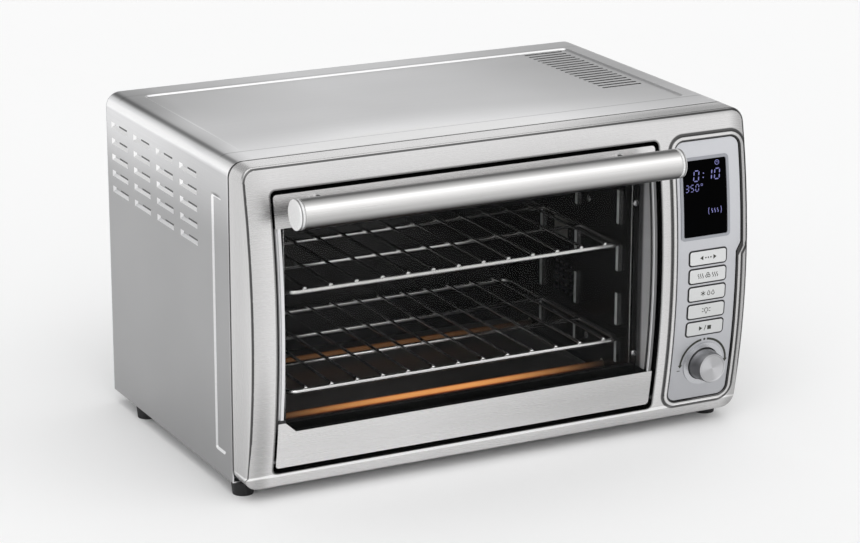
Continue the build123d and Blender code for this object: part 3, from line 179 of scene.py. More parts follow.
def rimDistance(tree, seen, rim):
    # how far a place lies outside a rounded rectangle: past = |place - centre| - half + corner on each of two
    # axes, and the distance is the length of past's positive part, less the corner. "rows" repeats the
    # rectangle (count, pitch) along each axis, and a "jog" moves its right side out over a height.
    rows = rim.get("rows", ((1, 1), (1, 1)))
    offsets = []
    for axis, centre, (count, pitch) in zip(rim.get("axes", "xz"), rim["centre"], rows):
        offset = maths(tree, "SUBTRACT", seen[axis], centre)
        if count > 1:
            index = maths(tree, "DIVIDE", offset, pitch)
            for kind, limit in (("ROUND", 0.0), ("MAXIMUM", 0.0), ("MINIMUM", count - 1.0)):
                index = maths(tree, kind, index, limit)
            offset = maths(tree, "MULTIPLY_ADD", index, -pitch, offset)
        offsets.append(offset)
    x, z = offsets
    widths = [half - rim["corner"] for half in rim["halves"]]
    if "jog" in rim:
        low, high, out = rim["jog"]
        shift = ramp(tree, seen["z"], low, high, 0.0, out / 2)
        x = maths(tree, "SUBTRACT", x, shift)
        widths[0] = maths(tree, "ADD", shift, widths[0])
    past = []
    for value, width in zip((x, z), widths):
        value = maths(tree, "SUBTRACT", maths(tree, "ABSOLUTE", value), width)
        past.append(maths(tree, "MAXIMUM", value, 0.0))
    corner = addNode(tree, "CombineXYZ", {0: past[0], 1: past[1]}).outputs[0]
    return maths(tree, "SUBTRACT", vectors(tree, "LENGTH", corner), rim["corner"])


def toned(tree, seen, colour, look):
    # multiplies a colour by the look's soft steps, each (reading, start, end, tone before, tone after), and
    # by its soft oval patches, each (centre, half sizes, tone), whose edge is a smooth step of the distance
    # in half sizes. The steps and patches lay painted shade, painted highlights and painted reflections into
    # the colour.
    for rim, outline in look.get("rims", {}).items():
        seen[rim] = rimDistance(tree, seen, outline)
    for reading, start, end, before, after in look.get("shades", ()):
        colour = scaled(tree, colour, softRamp(tree, seen[reading], start, end, before, after))
    for centre, halves, tone in look.get("patches", ()):
        away = vectors(tree, "DIVIDE", vectors(tree, "SUBTRACT", seen["place"], centre), halves)
        colour = scaled(tree, colour, softRamp(tree, vectors(tree, "LENGTH", away), 0.1, 1.0, tone, 1.0))
    return vectors(tree, "MINIMUM", colour, (1.0, 1.0, 1.0))


def steel(name, look):
    # Stainless or tinned sheet ground with a belt: long fine scratches in one direction smear highlights
    # across the grain, with faint cloudy patches. Grain is really about 0.1 mm wide, and is drawn at
    # look["grain"] so that it shows, and takes the tones in look["shades"].
    # The tones in look["shades"] and look["patches"] are painted shade, painted highlights and painted
    # reflections.
    material, tree, shader, seen = newMaterial(name, {
        "Metallic": look.get("metallic", 1.0), "Roughness": look["roughness"]})
    fine, long = 1000 / look["grain"], 1000 / look["length"]
    along = look.get("along", "X")
    lined = vectors(tree, "MULTIPLY", seen["place"], [long if axis in along else fine for axis in "XYZ"])
    if "turned" in look:        # a folded sheet is ground one way, so the grain turns with the fold
        reading, axes = look["turned"]
        folded = vectors(tree, "MULTIPLY", seen["place"], [long if axis in axes else fine for axis in "XYZ"])
        share = ramp(tree, seen[reading], 0.6, 0.8)
        lined = addNode(tree, "Mix", {0: share, 4: lined, 5: folded}, data_type="VECTOR").outputs[1]
    scratch = addNode(tree, "TexNoise", {
        "Vector": lined, "Scale": 1.0, "Detail": 3.0, "Roughness": 0.6}).outputs[0]
    mixed = maths(tree, "ADD", scratch, noise(tree, seen["place"], 7.0, 2.0))
    colour = blend(tree, ramp(tree, mixed, 0.7, 1.3), hexColour(look["dark"]), hexColour(look["colour"]))
    tree.links.new(toned(tree, seen, colour, look), shader.inputs["Base Color"])
    smooth, rough = look["roughness"] - look["spread"], look["roughness"] + look["spread"]
    tree.links.new(ramp(tree, scratch, 0.3, 0.7, smooth, rough), shader.inputs["Roughness"])
    bumped(tree, shader, scratch, look["bump"])
    return material


def coated(name, look):
    # Paint, moulded plastic, rubber, ceramic or enamel: one colour with a fine grain in its tone, gloss and
    # relief. Where look["behind"] is given, only the front is painted, and what lies further behind the
    # bowed front than that is the bare black moulding.
    material, tree, shader, seen = newMaterial(name, {
        "Metallic": look.get("metallic", 0.0), "Roughness": look["roughness"],
        "Specular IOR Level": look.get("specular", 0.5)})
    grain = noise(tree, seen["place"], 1000 / look["grain"], 3.0)
    both = maths(tree, "ADD", grain, noise(tree, seen["place"], 14.0, 2.0))
    colour = blend(tree, ramp(tree, both, 0.7, 1.3), hexColour(look["dark"]), hexColour(look["colour"]))
    colour = toned(tree, seen, colour, look)
    if "behind" in look:
        hidden = ramp(tree, seen["depth"], look["behind"], look["behind"] + 0.0002)
        colour = blend(tree, hidden, colour, hexColour("#0b0b0c"))
        metal = maths(tree, "MULTIPLY", maths(tree, "SUBTRACT", 1.0, hidden), look["metallic"])
        tree.links.new(metal, shader.inputs["Metallic"])
    tree.links.new(colour, shader.inputs["Base Color"])
    smooth, rough = look["roughness"] - look["spread"], look["roughness"] + look["spread"]
    tree.links.new(ramp(tree, both, 0.7, 1.3, rough, smooth), shader.inputs["Roughness"])
    bumped(tree, shader, grain, look["bump"])
    return material


# Painted reflection on the pressed bends of the front: a dark line and then a light ridge are painted into
# the colour by how the surface faces. They stand in for the dark of the room that a mirror-smooth bend would
# show. The outlines are the openings round which painted shade and painted highlights are laid.
paintedBendReflection = [("bend", 0.985, 0.962, 1.0, 0.14), ("bend", 0.82, 0.66, 1.0, 7.9)]
doorHole = {"centre": (-0.0325, 0.1475), "halves": (0.1835, 0.1225), "corner": 0.005}
panelHole = {"centre": (0.1970, 0.14725), "halves": (0.0305, 0.11925), "corner": 0.009,
             "jog": (0.160, 0.168, 0.0045)}
louvreSlits = {"axes": "yz", "centre": (0.1370, 0.2643), "halves": (0.0120, 0.0008), "corner": 0.0004,
               "rows": ((4, -0.052), (5, -0.0147))}
keyHoles = {"centre": (0.1978, 0.1622), "halves": (0.0187, 0.0064), "corner": 0.0025,
            "rows": ((1, 1), (5, -0.0164))}

# Stainless sheet, brushed along the front: soft wide highlights with a fine lengthwise streak. Painted on top
# are painted reflections on the bends and painted shade towards its side and bottom edges. There is a painted
# black line at the seam with the casing, and painted shade round the door and panel openings. Painted
# highlights run on the panel's rim and along the bottom bar's top edge, and painted dark patches of
# reflection lie on the top, left and right bars.
bezelSteel = steel("brushedStainlessBezel", {
    "colour": "#e4e3e3", "dark": "#dddcdc", "roughness": 0.27, "spread": 0.02, "grain": 0.45, "length": 140.0,
    "bump": 0.014, "turned": ("sideways", "XZ"), "rims": {"doorHole": doorHole, "panelHole": panelHole},
    "shades": paintedBendReflection + [
        ("x", -0.238, -0.214, 0.84, 1.0), ("x", 0.236, 0.222, 0.62, 1.0), ("z", 0.014, 0.034, 0.90, 1.0),
        ("y", -0.0998, -0.0992, 1.0, 0.05), ("doorHole", 0.0004, 0.0020, 0.30, 1.0),
        ("panelHole", 0.0034, 0.0044, 1.0, 0.14), ("panelHole", 0.0060, 0.0074, 1.0, 7.1),
        ("panelHole", 0.0010, 0.0018, 0.10, 1.0)],
    "patches": [
        ((0.20, -0.115, 0.291), (0.2, 0.03, 0.007), 0.33),
        ((-0.228, -0.125, 0.05), (0.012, 0.05, 0.10), 0.72),
        ((-0.03, -0.13, 0.0238), (0.4, 0.05, 0.0022), 3.2),
        ((0.16, -0.125, 0.014), (0.22, 0.05, 0.014), 0.8),
        ((0.158, -0.13, 0.15), (0.014, 0.05, 0.15), 0.86),
        ((-0.24, -0.115, 0.15), (0.003, 0.03, 4.0), 0.87)]})
# The wrapped casing, of duller sheet. Its tones are painted light and shade: the sides are painted darker
# than the top, darker towards the bottom and lighter towards the top. Painted highlights lie on the rolled
# edges, the louvre slopes and the front edge, with painted shadow in the louvre slits. Painted dark and light
# lines and patches of the room's reflection lie on the top.
casingSteel = steel("brushedStainlessCasing", {
    "colour": "#dededf", "dark": "#d2d2d3", "roughness": 0.34, "spread": 0.05, "along": "XY",
    "turned": ("nz", "XZ"), "grain": 0.8, "length": 120.0, "bump": 0.03, "rims": {"slits": louvreSlits},
    "shades": [
        ("nz", 0.97, 0.80, 1.0, 1.3), ("nz", 0.6, 0.0, 1.0, 0.42), ("nz", -0.1, -0.4, 1.0, 1.9),
        ("z", 0.215, 0.279, 1.0, 1.6), ("z", 0.280, 0.2850, 1.0, 0.625), ("ny", -0.15, -0.4, 1.0, 2.0),
        ("z", 0.012, 0.15, 0.94, 1.0), ("slits", 0.0002, -0.0002, 1.0, 0.10)],
    "patches": [
        ((-0.24, 0.16, 0.275), (0.04, 0.24, 0.085), 1.35), ((0.24, 0.10, 0.29), (0.24, 0.3, 0.012), 0.62),
        ((-0.24, 0.16, 0.29), (0.20, 0.18, 0.012), 0.70), ((-0.06, -0.097, 0.29), (0.32, 0.10, 0.012), 1.6),
        ((-0.24, -0.072, 0.2565), (0.01, 0.013, 0.0022), 0.4),
        ((-0.232, 0.04, 0.29), (0.018, 4.0, 0.004), 0.74),
        ((-0.213, 0.045, 0.289), (0.0026, 0.108, 0.004), 1.22),
        ((0.0, 0.1515, 0.289), (4.0, 0.004, 0.004), 0.82),
        ((-0.222, 0.14, 0.29), (0.03, 0.12, 0.004), 0.62),
        ((-0.2325, 0.0, 0.2895), (0.0036, 4.0, 0.005), 0.42),
        ((0.2335, 0.0, 0.289), (0.006, 4.0, 0.006), 0.45),
        ((0.0, -0.0695, 0.29), (4.0, 0.0016, 0.004), 0.62),
        ((0.0, -0.0960, 0.16), (4.0, 0.0016, 4.0), 1.3)]})
# Door rails and handle posts, brushed like the bezel. They have painted shade on their bends and a painted
# shadow of the handle on the top rail. The right of the bottom rail is painted darker.
doorSteel = steel("brushedStainlessDoor", {
    "colour": "#e8e7e7", "dark": "#e1e0e0", "roughness": 0.27, "spread": 0.02, "grain": 0.45, "length": 140.0,
    "bump": 0.014, "shades": [("flush", 0.988, 0.955, 1.0, 0.5)],
    "patches": [
        ((0.16, -0.125, 0.045), (0.26, 0.06, 0.05), 0.70), ((-0.03, -0.13, 0.2385), (0.4, 0.1, 0.026), 0.6)]})
# Thin drawn trim beside the glass: bright along the glass, with painted shade on its outer strip and painted
# shade on its side further back.
trimSteel = steel("drawnStainlessTrim", {
    "colour": "#e2e2e3", "dark": "#d2d2d4", "roughness": 0.24, "spread": 0.04, "along": "Z", "grain": 0.5,
    "length": 60.0, "bump": 0.03, "metallic": 0.12,
    "shades": [
        ("x", 0.1437, 0.1443, 1.0, 0.17), ("x", -0.2125, -0.2119, 0.3, 1.0),
        ("y", -0.1150, -0.1200, 0.10, 1.0)]})
# Satin tube with painted light and shade: one soft painted highlight band along its upper front between two
# painted darker bands, set by which way the surface faces.
handleSteel = steel("satinStainlessTube", {
    "colour": "#efeeed", "dark": "#e8e7e6", "roughness": 0.30, "spread": 0.03, "grain": 0.4, "length": 90.0,
    "bump": 0.02,
    "shades": [
        ("nz", 0.50, 1.02, 1.0, 0.26), ("nz", 0.42, -0.16, 1.0, 0.62), ("nz", -0.12, -0.80, 1.0, 0.10)]})
# Polished end caps with painted shade on their lower and upper sides and a painted dark line where each cap
# meets the bar. The right cap's outer end is painted darker.
capSteel = steel("polishedCapSteel", {
    "metallic": 0.2, "colour": "#f8f8f8", "dark": "#e2e2e2", "roughness": 0.25, "spread": 0.03, "grain": 0.6,
    "length": 10.0, "bump": 0.02,
    "shades": [
        ("nz", -0.35, -0.9, 1.0, 0.35), ("nz", 0.6, 1.0, 1.0, 0.7), ("x", -0.2120, -0.2117, 1.0, 0.3),
        ("x", -0.2107, -0.2104, 1.0, 3.0), ("x", 0.1454, 0.1457, 1.0, 0.3), ("x", 0.1467, 0.1470, 1.0, 2.2)]})
trayTin = steel("tinnedSheet", {
    "colour": "#b9b9ba", "dark": "#9d9d9e", "roughness": 0.4, "spread": 0.08, "grain": 1.5, "length": 30.0,
    "bump": 0.06})
turnedSteel = steel("turnedSteel", {
    "colour": "#d2d2d3", "dark": "#a4a4a6", "roughness": 0.26, "spread": 0.06, "grain": 0.4, "length": 1.2,
    "bump": 0.06})
# Drawn wire plated with nickel and chrome: sharp glints with dark sides.
wireChrome = steel("nickelChromeWire", {
    "colour": "#fbfbfb", "dark": "#e6e5e4", "roughness": 0.20, "spread": 0.05, "grain": 0.9, "length": 14.0,
    "bump": 0.03})
zincSheet = coated("galvanisedSheet", {     # a dull grey with faint spangle
    "colour": "#c3c5c6", "dark": "#b2b5b7", "metallic": 0.85, "roughness": 0.40, "spread": 0.05, "grain": 3.5,
    "bump": 0.05})
# Sprayed silver on moulded fronts: even and bluish, with painted shade. It is painted darker low down and
# lighter higher up, with a painted dark line round each key's hole on the panel, and the keys are painted
# darker towards their edges.
panelSilver = coated("satinSilverPaint", {
    "colour": "#cfd0d4", "dark": "#c6c7cb", "metallic": 0.7, "roughness": 0.36, "spread": 0.04, "grain": 0.35,
    "bump": 0.03, "behind": 0.0006, "rims": {"keyHoles": keyHoles},
    "shades": [
        ("z", 0.03, 0.14, 0.74, 0.90), ("z", 0.14, 0.24, 1.0, 1.14),
        ("keyHoles", 0.0008, 0.0014, 0.12, 1.0)]})
keySilver = coated("satinSilverKeyPaint", {
    "colour": "#d8d9d9", "dark": "#d0d1d1", "metallic": 0.6, "roughness": 0.34, "spread": 0.04, "grain": 0.3,
    "bump": 0.03, "behind": -0.00050, "rims": {"keyHoles": keyHoles},
    "shades": [("z", 0.09, 0.17, 0.92, 1.05), ("keyHoles", -0.0006, -0.0001, 1.0, 0.5)]})
ringSilver = coated("satinSilverRingPaint", {
    "colour": "#c9cacd", "dark": "#bbbcc0", "metallic": 0.7, "roughness": 0.3, "spread": 0.04, "grain": 0.3,
    "bump": 0.03})
surroundGrey = coated("satinGreyABS", {
    "colour": "#a2a4aa", "dark": "#94969c", "metallic": 0.6, "roughness": 0.32, "spread": 0.05, "grain": 0.4,
    "bump": 0.03, "behind": 0.0030})
lensBlack = coated("glossBlackAcrylic", {   # deep black under the segments, with hardly a sheen
    "colour": "#030304", "dark": "#020202", "roughness": 0.16, "spread": 0.02, "specular": 0.01, "grain": 3.0,
    "bump": 0.01})
mattBlack = coated("mouldedBlackNylon", {
    "colour": "#18181a", "dark": "#101012", "roughness": 0.55, "spread": 0.08, "grain": 0.5, "bump": 0.12})
rubberBlack = coated("mouldedBlackRubber", {
    "colour": "#141416", "dark": "#0c0c0e", "roughness": 0.62, "spread": 0.08, "grain": 0.6, "bump": 0.15})
boardGreen = coated("solderMask", {
    "colour": "#1d5a36", "dark": "#14452a", "roughness": 0.35, "spread": 0.08, "grain": 2.0, "bump": 0.1})
frameBlack = coated("blackVitreousFrame", {
    "colour": "#0d0d0d", "dark": "#070708", "roughness": 0.34, "spread": 0.05, "specular": 0.3, "grain": 2.5,
    "bump": 0.05})
steatite = coated("unglazedSteatite", {
    "colour": "#ddd9ce", "dark": "#cbc6b8", "roughness": 0.6, "spread": 0.06, "grain": 0.8, "bump": 0.08})
printInk = coated("padPrintedInk", {
    "colour": "#2c2d24", "dark": "#22231c", "roughness": 0.5, "spread": 0.05, "grain": 0.4, "bump": 0.02})
lampGlass = coated("frostedGlass", {
    "colour": "#8d8c86", "dark": "#75746e", "roughness": 0.4, "spread": 0.1, "grain": 1.0, "bump": 0.1})
print("sheet and moulded finishes made")

enamelLook = {"black": ("#060606", "#0e0e0e"), "worn": ("#a3a8a6", "#eaeeed"), "grain": 2.5, "streak": 120.0}


def cavityEnamel():
    # Black vitreous enamel fired on pressed steel: nearly black and glassy. Along the crests of the upright
    # beads in the side walls, a pale painted highlight is laid into the colour for the light that the crests
    # catch.
    look = enamelLook
    material, tree, shader, seen = newMaterial("blackVitreousEnamel", {
        "Roughness": 0.26, "Specular IOR Level": 0.35})
    grain = noise(tree, seen["place"], 1000 / look["grain"], 3.0)
    black = blend(tree, grain, *[hexColour(tone) for tone in look["black"]])
    middle = (linerWall["left"] + linerWall["right"]) / 2
    reach = (linerWall["right"] - linerWall["left"]) / 2 - linerWall["crest"]
    off = maths(tree, "ABSOLUTE", maths(tree, "SUBTRACT", seen["x"], middle))
    crest = maths(tree, "COMPARE", off, reach, 0.0006)
    crestMask = maths(tree, "MULTIPLY", crest, maths(tree, "GREATER_THAN", seen["sideways"], 0.9))
    streak = noise(tree, seen["place"], look["streak"], 2.0)
    worn = blend(tree, streak, *[hexColour(tone) for tone in look["worn"]])
    tree.links.new(blend(tree, crestMask, black, worn), shader.inputs["Base Color"])
    bumped(tree, shader, grain, 0.05, 0.0002)
    return material


def clearGlass():
    # Tempered soda-lime sheet, coated against glare: nearly invisible, with a faint body and a soft sheen.
    material, tree, shader, seen = newMaterial("temperedGlass", {
        "Base Color": hexColour("#0a0c0c"), "Roughness": 0.03, "IOR": 1.5})
    film = ramp(tree, noise(tree, seen["place"], 12.0, 3.0), 0.3, 0.8, 0.06, 0.12)
    tree.links.new(film, shader.inputs["Alpha"])
    return material


def heaterSheath(name, glow):
    # Oxidised steel sheath over a coil. The glow is a bell along X, full in the middle and gone at the cold
    # ends. A painted highlight makes the glow brightest and yellowest where the rod faces up and forward, and
    # dimmer and red-brown towards its sides.
    material, tree, shader, seen = newMaterial(name, {"Roughness": 0.55, "Metallic": 0.4})
    scale = noise(tree, seen["place"], 1000 / glow["grain"], 3.0)
    skin = blend(tree, scale, *[hexColour(tone) for tone in glow["skin"]])
    tree.links.new(skin, shader.inputs["Base Color"])
    away = maths(tree, "ABSOLUTE", maths(tree, "SUBTRACT", seen["x"], glow["middle"]))
    bell = softRamp(tree, away, glow["half"], glow["half"] * 0.15, 0.0, glow["strength"])
    core = maths(tree, "MULTIPLY_ADD", seen["ny"], -0.87, maths(tree, "MULTIPLY", seen["nz"], 0.5))
    core = softRamp(tree, core, 0.35, 1.0)
    bell = maths(tree, "MULTIPLY", bell, ramp(tree, core, 0.0, 1.0, 0.10, 1.0))
    hue = blend(tree, core, hexColour(glow["rim"]), hexColour(glow["core"]))
    tree.links.new(hue, shader.inputs["Emission Color"])
    tree.links.new(bell, shader.inputs["Emission Strength"])
    return material


def spunMetal(name, look):
    # Aluminium faced on a lathe, with fine rings round the dial's axis. The two fans of light that meet in
    # the middle are a painted highlight: a wave of twice the angle round the axis, laid into the colour. The
    # shades paint the turned side darker than the face and lighter on its upper side.
    material, tree, shader, seen = newMaterial(name, {"Metallic": 1.0, "Roughness": look["roughness"]})
    low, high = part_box("knob")
    centred = vectors(tree, "SUBTRACT", seen["place"], ((low.x + high.x) / 2, 0.0, (low.z + high.z) / 2))
    flat = vectors(tree, "MULTIPLY", centred, (1.0, 0.0, 1.0))
    reach = vectors(tree, "LENGTH", flat)
    part = addNode(tree, "SeparateXYZ", {"Vector": flat}).outputs
    angle = maths(tree, "ARCTAN2", part[2], part[0])
    wave = maths(tree, "COSINE", maths(tree, "MULTIPLY_ADD", angle, 2.0, look["turn"]))
    ring = addNode(tree, "TexNoise", {
        "W": maths(tree, "MULTIPLY", reach, 1000 / look["ring"]), "Scale": 1.0, "Detail": 2.0},
        noise_dimensions="1D").outputs[0]
    colour = blend(tree, ring, hexColour(look["dark"]), hexColour(look["colour"]))
    colour = scaled(tree, colour, softRamp(tree, wave, -0.6, 1.0, *look["fan"]))
    tree.links.new(toned(tree, seen, colour, look), shader.inputs["Base Color"])
    bumped(tree, shader, ring, 0.15)
    return material


def glowInk(name, look):
    # Backlit segments of the display: flat light with a faint unevenness.
    material, tree, shader, seen = newMaterial(name, {
        "Base Color": hexColour(look["off"]), "Roughness": 0.5, "Specular IOR Level": 0.05,
        "Emission Color": hexColour(look["lit"])})
    uneven = noise(tree, seen["place"], look["unevenness"], 1.0)
    level = ramp(tree, uneven, 0.3, 0.7, look["strength"] * 0.85, look["strength"] * 1.1)
    tree.links.new(level, shader.inputs["Emission Strength"])
    return material


heaterLow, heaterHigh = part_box("lower_front_heater")
glowLook = {"middle": (heaterLow.x + heaterHigh.x) / 2, "half": 0.175, "core": "#ffae62", "rim": "#c0400c",
            "skin": ("#1b1715", "#3d332e"), "grain": 6.25}
enamelBlack = cavityEnamel()
glassClear = clearGlass()
dialMetal = spunMetal("spunAluminium", {
    "colour": "#d4d4d6", "dark": "#c8c8cb", "roughness": 0.3, "ring": 0.5, "turn": 1.1, "fan": (0.72, 0.92),
    "shades": [("ny", -0.95, -0.75, 1.0, 0.36), ("nz", 0.1, 0.9, 1.0, 1.8)]})
segmentInk = glowInk("violetSegments", {
    "off": "#08080c", "lit": "#9a9adb", "strength": 0.75, "unevenness": 300.0})
glowSheath = heaterSheath("glowingSheath", {**glowLook, "strength": 0.85})
warmSheath = heaterSheath("warmSheath", {**glowLook, "strength": 0.10})
coldSheath = heaterSheath("coldSheath", {**glowLook, "strength": 0.0})
print("glowing, clear and turned finishes made")


smoothing = {"merge": 2e-6, "corner": 28.0}      # metres, and the least angle that stays a corner


def linked(name, data):
    thing = bpy.data.objects.new(name, data)
    bpy.context.scene.collection.objects.link(thing)
    return thing


def placed(name, mesh, material, body, slotName):
    # a mesh of one material as a piece that rides on a body
    mesh.materials.append(material)
    piece = linked(name, mesh)
    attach(piece, body)
    return piece


def mended(mesh, outward):
    # merges a mesh's doubles, and turns its faces out where that is asked
    form = bmesh.new()
    form.from_mesh(mesh)
    bmesh.ops.remove_doubles(form, verts=form.verts, dist=smoothing["merge"])
    if outward:
        bmesh.ops.recalc_face_normals(form, faces=form.faces)
    form.to_mesh(mesh)
    form.free()


def meshPiece(name, verts, faces, material, body, slotName, smooth=True):
    # turns computed arrays into a piece
    mesh = bpy.data.meshes.new(name)
    mesh.from_pydata(np.asarray(verts, float).tolist(), [], [list(f) for f in faces])
    mended(mesh, smooth)
    mesh.polygons.foreach_set("use_smooth", np.full(len(mesh.polygons), smooth))
    return placed(name, mesh, material, body, slotName)


def smoothPiece(node, material):
    # the CAD piece with its loose triangles merged, so that light runs evenly round its bends
    source = nodes[node]
    mesh = bpy.data.meshes.new(node)
    points = np.empty(len(source.data.vertices) * 3)
    source.data.vertices.foreach_get("co", points)
    corners = np.empty(len(source.data.loops), int)
    source.data.loops.foreach_get("vertex_index", corners)
    mesh.from_pydata(points.reshape(-1, 3).tolist(), [], corners.reshape(-1, 3).tolist())
    mended(mesh, False)
    mesh.polygons.foreach_set("use_smooth", np.ones(len(mesh.polygons), bool))
    mesh.set_sharp_from_angle(angle=math.radians(smoothing["corner"]))
    words = node.split("_")
    name = words[0] + "".join(word.capitalize() for word in words[1:])
    piece = placed(name, mesh, material, source["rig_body"], source.data.materials[0].name)
    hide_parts(node)
    even = piece.modifiers.new("even", "WEIGHTED_NORMAL")      # flat faces stay flat beside a bend
    even.keep_sharp = True


feet = [f"foot_{end}_{side}" for end in ("front", "rear") for side in ("left", "right")]
keys = [f"button_{step}" for step in range(1, 6)]
finishes = [
    (bezelSteel, ["front_bezel"]), (casingSteel, ["outer_casing"]),
    (doorSteel, ["door_top_rail", "door_bottom_rail", "handle_posts"]),
    (trimSteel, ["door_left_rail", "door_right_rail"]), (panelSilver, ["control_panel"]), (keySilver, keys),
    (ringSilver, ["knob_ring"]), (surroundGrey, ["display_surround"]), (lensBlack, ["display_lens"]),
    (dialMetal, ["knob"]), (enamelBlack, ["cavity_liner"]), (frameBlack, ["door_inner_frame"]),
    (glassClear, ["door_glass"]), (rubberBlack, feet + ["glass_seals"]),
    (mattBlack, ["display_module", "button_switches", "encoder", "rear_spacers", "cord_bushing",
                 "door_corner_clip"]),
    (zincSheet, ["rear_panel", "base_pan", "fan_housing", "fan_motor", "lamp_holder", "hinge_blocks",
                 "hinge_brackets"]),
    (turnedSteel, ["knob_shaft", "fan_shaft", "rear_screws", "flange_screws", "temperature_sensor",
                   "handle_screws", "hinge_pins", "fan_impeller"]),
    (boardGreen, ["control_board"]), (steatite, ["heater_insulators"]),
    (lampGlass, ["lamp_lens", "lamp_bulb"]), (trayTin, ["crumb_tray"]),
    (glowSheath, ["lower_front_heater"]), (warmSheath, ["lower_rear_heater"]),
    (coldSheath, ["upper_front_heater", "upper_rear_heater"])]
for material, names in finishes:
    for node in names:
        smoothPiece(node, material)
print("CAD pieces smoothed and dressed")


def gridFaces(rows, columns, closeRows=False, closeColumns=False):
    # quads of a grid of points, wrapped round where a side closes on itself
    r = np.arange(rows if closeRows else rows - 1)
    c = np.arange(columns if closeColumns else columns - 1)
    rr, cc = np.meshgrid(r, c, indexing="ij")
    r1, c1 = (rr + 1) % rows, (cc + 1) % columns
    corners = [rr * columns + cc, rr * columns + c1, r1 * columns + c1, r1 * columns + cc]
    return np.stack(corners, -1).reshape(-1, 4)


def tubeAlong(path, radius, sides, closed=False, up=(0.0, 0.0, 1.0)):
    # a circle carried along a path: centre + radius (cos a * side + sin a * up), where side is square to the
    # path and to the given up; open ends get a point in the middle
    path = np.asarray(path, float)
    ahead = np.roll(path, -1, 0) - np.roll(path, 1, 0)
    if not closed:
        ahead[0], ahead[-1] = path[1] - path[0], path[-1] - path[-2]
    ahead /= np.linalg.norm(ahead, axis=1)[:, None]
    side = np.cross(ahead, np.tile(up, (len(path), 1)))
    side /= np.linalg.norm(side, axis=1)[:, None]
    lift = np.cross(side, ahead)
    angle = np.linspace(0, 2 * np.pi, sides, endpoint=False)[None, :, None]
    ring = radius * (np.cos(angle) * side[:, None] + np.sin(angle) * lift[:, None])
    verts = (path[:, None] + ring).reshape(-1, 3)
    faces = [list(f) for f in gridFaces(len(path), sides, closeRows=closed, closeColumns=True)]
    if not closed:
        first, last = len(verts), len(verts) + 1
        verts = np.vstack([verts, path[0], path[-1]])
        start = (len(path) - 1) * sides
        faces += [[first, (k + 1) % sides, k] for k in range(sides)]
        faces += [[last, start + k, start + (k + 1) % sides] for k in range(sides)]
    return verts, faces


def ball(centre, radii, rows=8, columns=12):
    # ellipsoid: rows of circles whose radius is sin(latitude), closed at two poles
    lat = np.linspace(0, np.pi, rows + 1)[1:-1]
    lon = np.linspace(0, 2 * np.pi, columns, endpoint=False)
    grid = np.stack([np.sin(lat)[:, None] * np.cos(lon), np.sin(lat)[:, None] * np.sin(lon),
                     np.repeat(np.cos(lat)[:, None], columns, 1)], -1).reshape(-1, 3)
    verts = np.vstack([grid, [0, 0, 1], [0, 0, -1]]) * radii + centre
    top, low = len(grid), len(grid) + 1
    faces = [list(f)[::-1] for f in gridFaces(rows - 1, columns, closeColumns=True)]
    start = (rows - 2) * columns
    faces += [[top, k, (k + 1) % columns] for k in range(columns)]
    faces += [[low, start + (k + 1) % columns, start + k] for k in range(columns)]
    return verts, faces


def joined(parts):
    # several vertex and face lists as one
    verts, faces, start = [], [], 0
    for partVerts, partFaces in parts:
        verts.append(np.asarray(partVerts, float))
        faces += [[i + start for i in f] for f in partFaces]
        start += len(partVerts)
    return np.vstack(verts), faces


def roundedLoop(low, high, corner, steps=8):
    # rectangle with quarter-circle corners, as points (u, v)
    turn = np.linspace(0, np.pi / 2, steps)
    centres = [(high[0] - corner, low[1] + corner), (high[0] - corner, high[1] - corner),
               (low[0] + corner, high[1] - corner), (low[0] + corner, low[1] + corner)]
    return np.vstack([np.stack([u + corner * np.cos(quarter * np.pi / 2 + turn),
                                v + corner * np.sin(quarter * np.pi / 2 + turn)], -1)
                      for (u, v), quarter in zip(centres, (-1, 0, 1, 2))])


rollLook = {"side": 0.2400, "radius": 0.0040, "proud": 0.0001, "low": 0.034, "high": 0.268, "steps": (96, 14)}


def bezelRolls():
    # the rolled edge down each side of the bezel: round the bow's axis by a, y = axis - R cos a and
    # z = middle height + R sin a with R = inner + r cos b, while x = side - r + r sin b, and b runs from the
    # face to the side. A straight back inside the metal closes the section.
    look = rollLook
    r = look["radius"] + look["proud"]
    inner, edge = bow["radius"] - r, look["side"] - r
    ends = [math.asin((look[end] - bow["middle"]) / inner) for end in ("low", "high")]
    rows, columns = look["steps"]
    a, b = np.meshgrid(np.linspace(*ends, rows), np.linspace(0, np.pi / 2, columns), indexing="ij")
    reach = inner + r * np.cos(b)
    y, z = bow["axis"] - reach * np.cos(a), bow["middle"] + reach * np.sin(a)
    grid = np.stack([edge + r * np.sin(b), y, z], -1)
    faces = [list(f) for f in gridFaces(rows, columns, closeColumns=True)]
    faces += [list(range(columns)), list(range((rows - 1) * columns, rows * columns))]
    sides = [(grid.reshape(-1, 3) * (way, 1, 1), faces) for way in (-1, 1)]
    slotName = nodes["front_bezel"].data.materials[0].name
    piece = meshPiece("bezelRolls", *joined(sides), bezelSteel, "oven", slotName)
    piece.data.set_sharp_from_angle(angle=math.radians(smoothing["corner"]))


bezelRolls()
print("bezel edges rolled")

rackLook = {"rail": 0.0023, "railSides": 18, "bar": 0.0019, "barShares": (1 / 3, 2 / 3), "wire": 0.0014,
            "sides": 14, "corner": 0.009, "pitch": 0.0242, "count": 13, "sink": 0.0006, "reach": 0.3,
            "bend": 0.002, "weld": 0.0021, "weldShape": (1.0, 0.8, 0.75), "weldDrop": 0.0003}


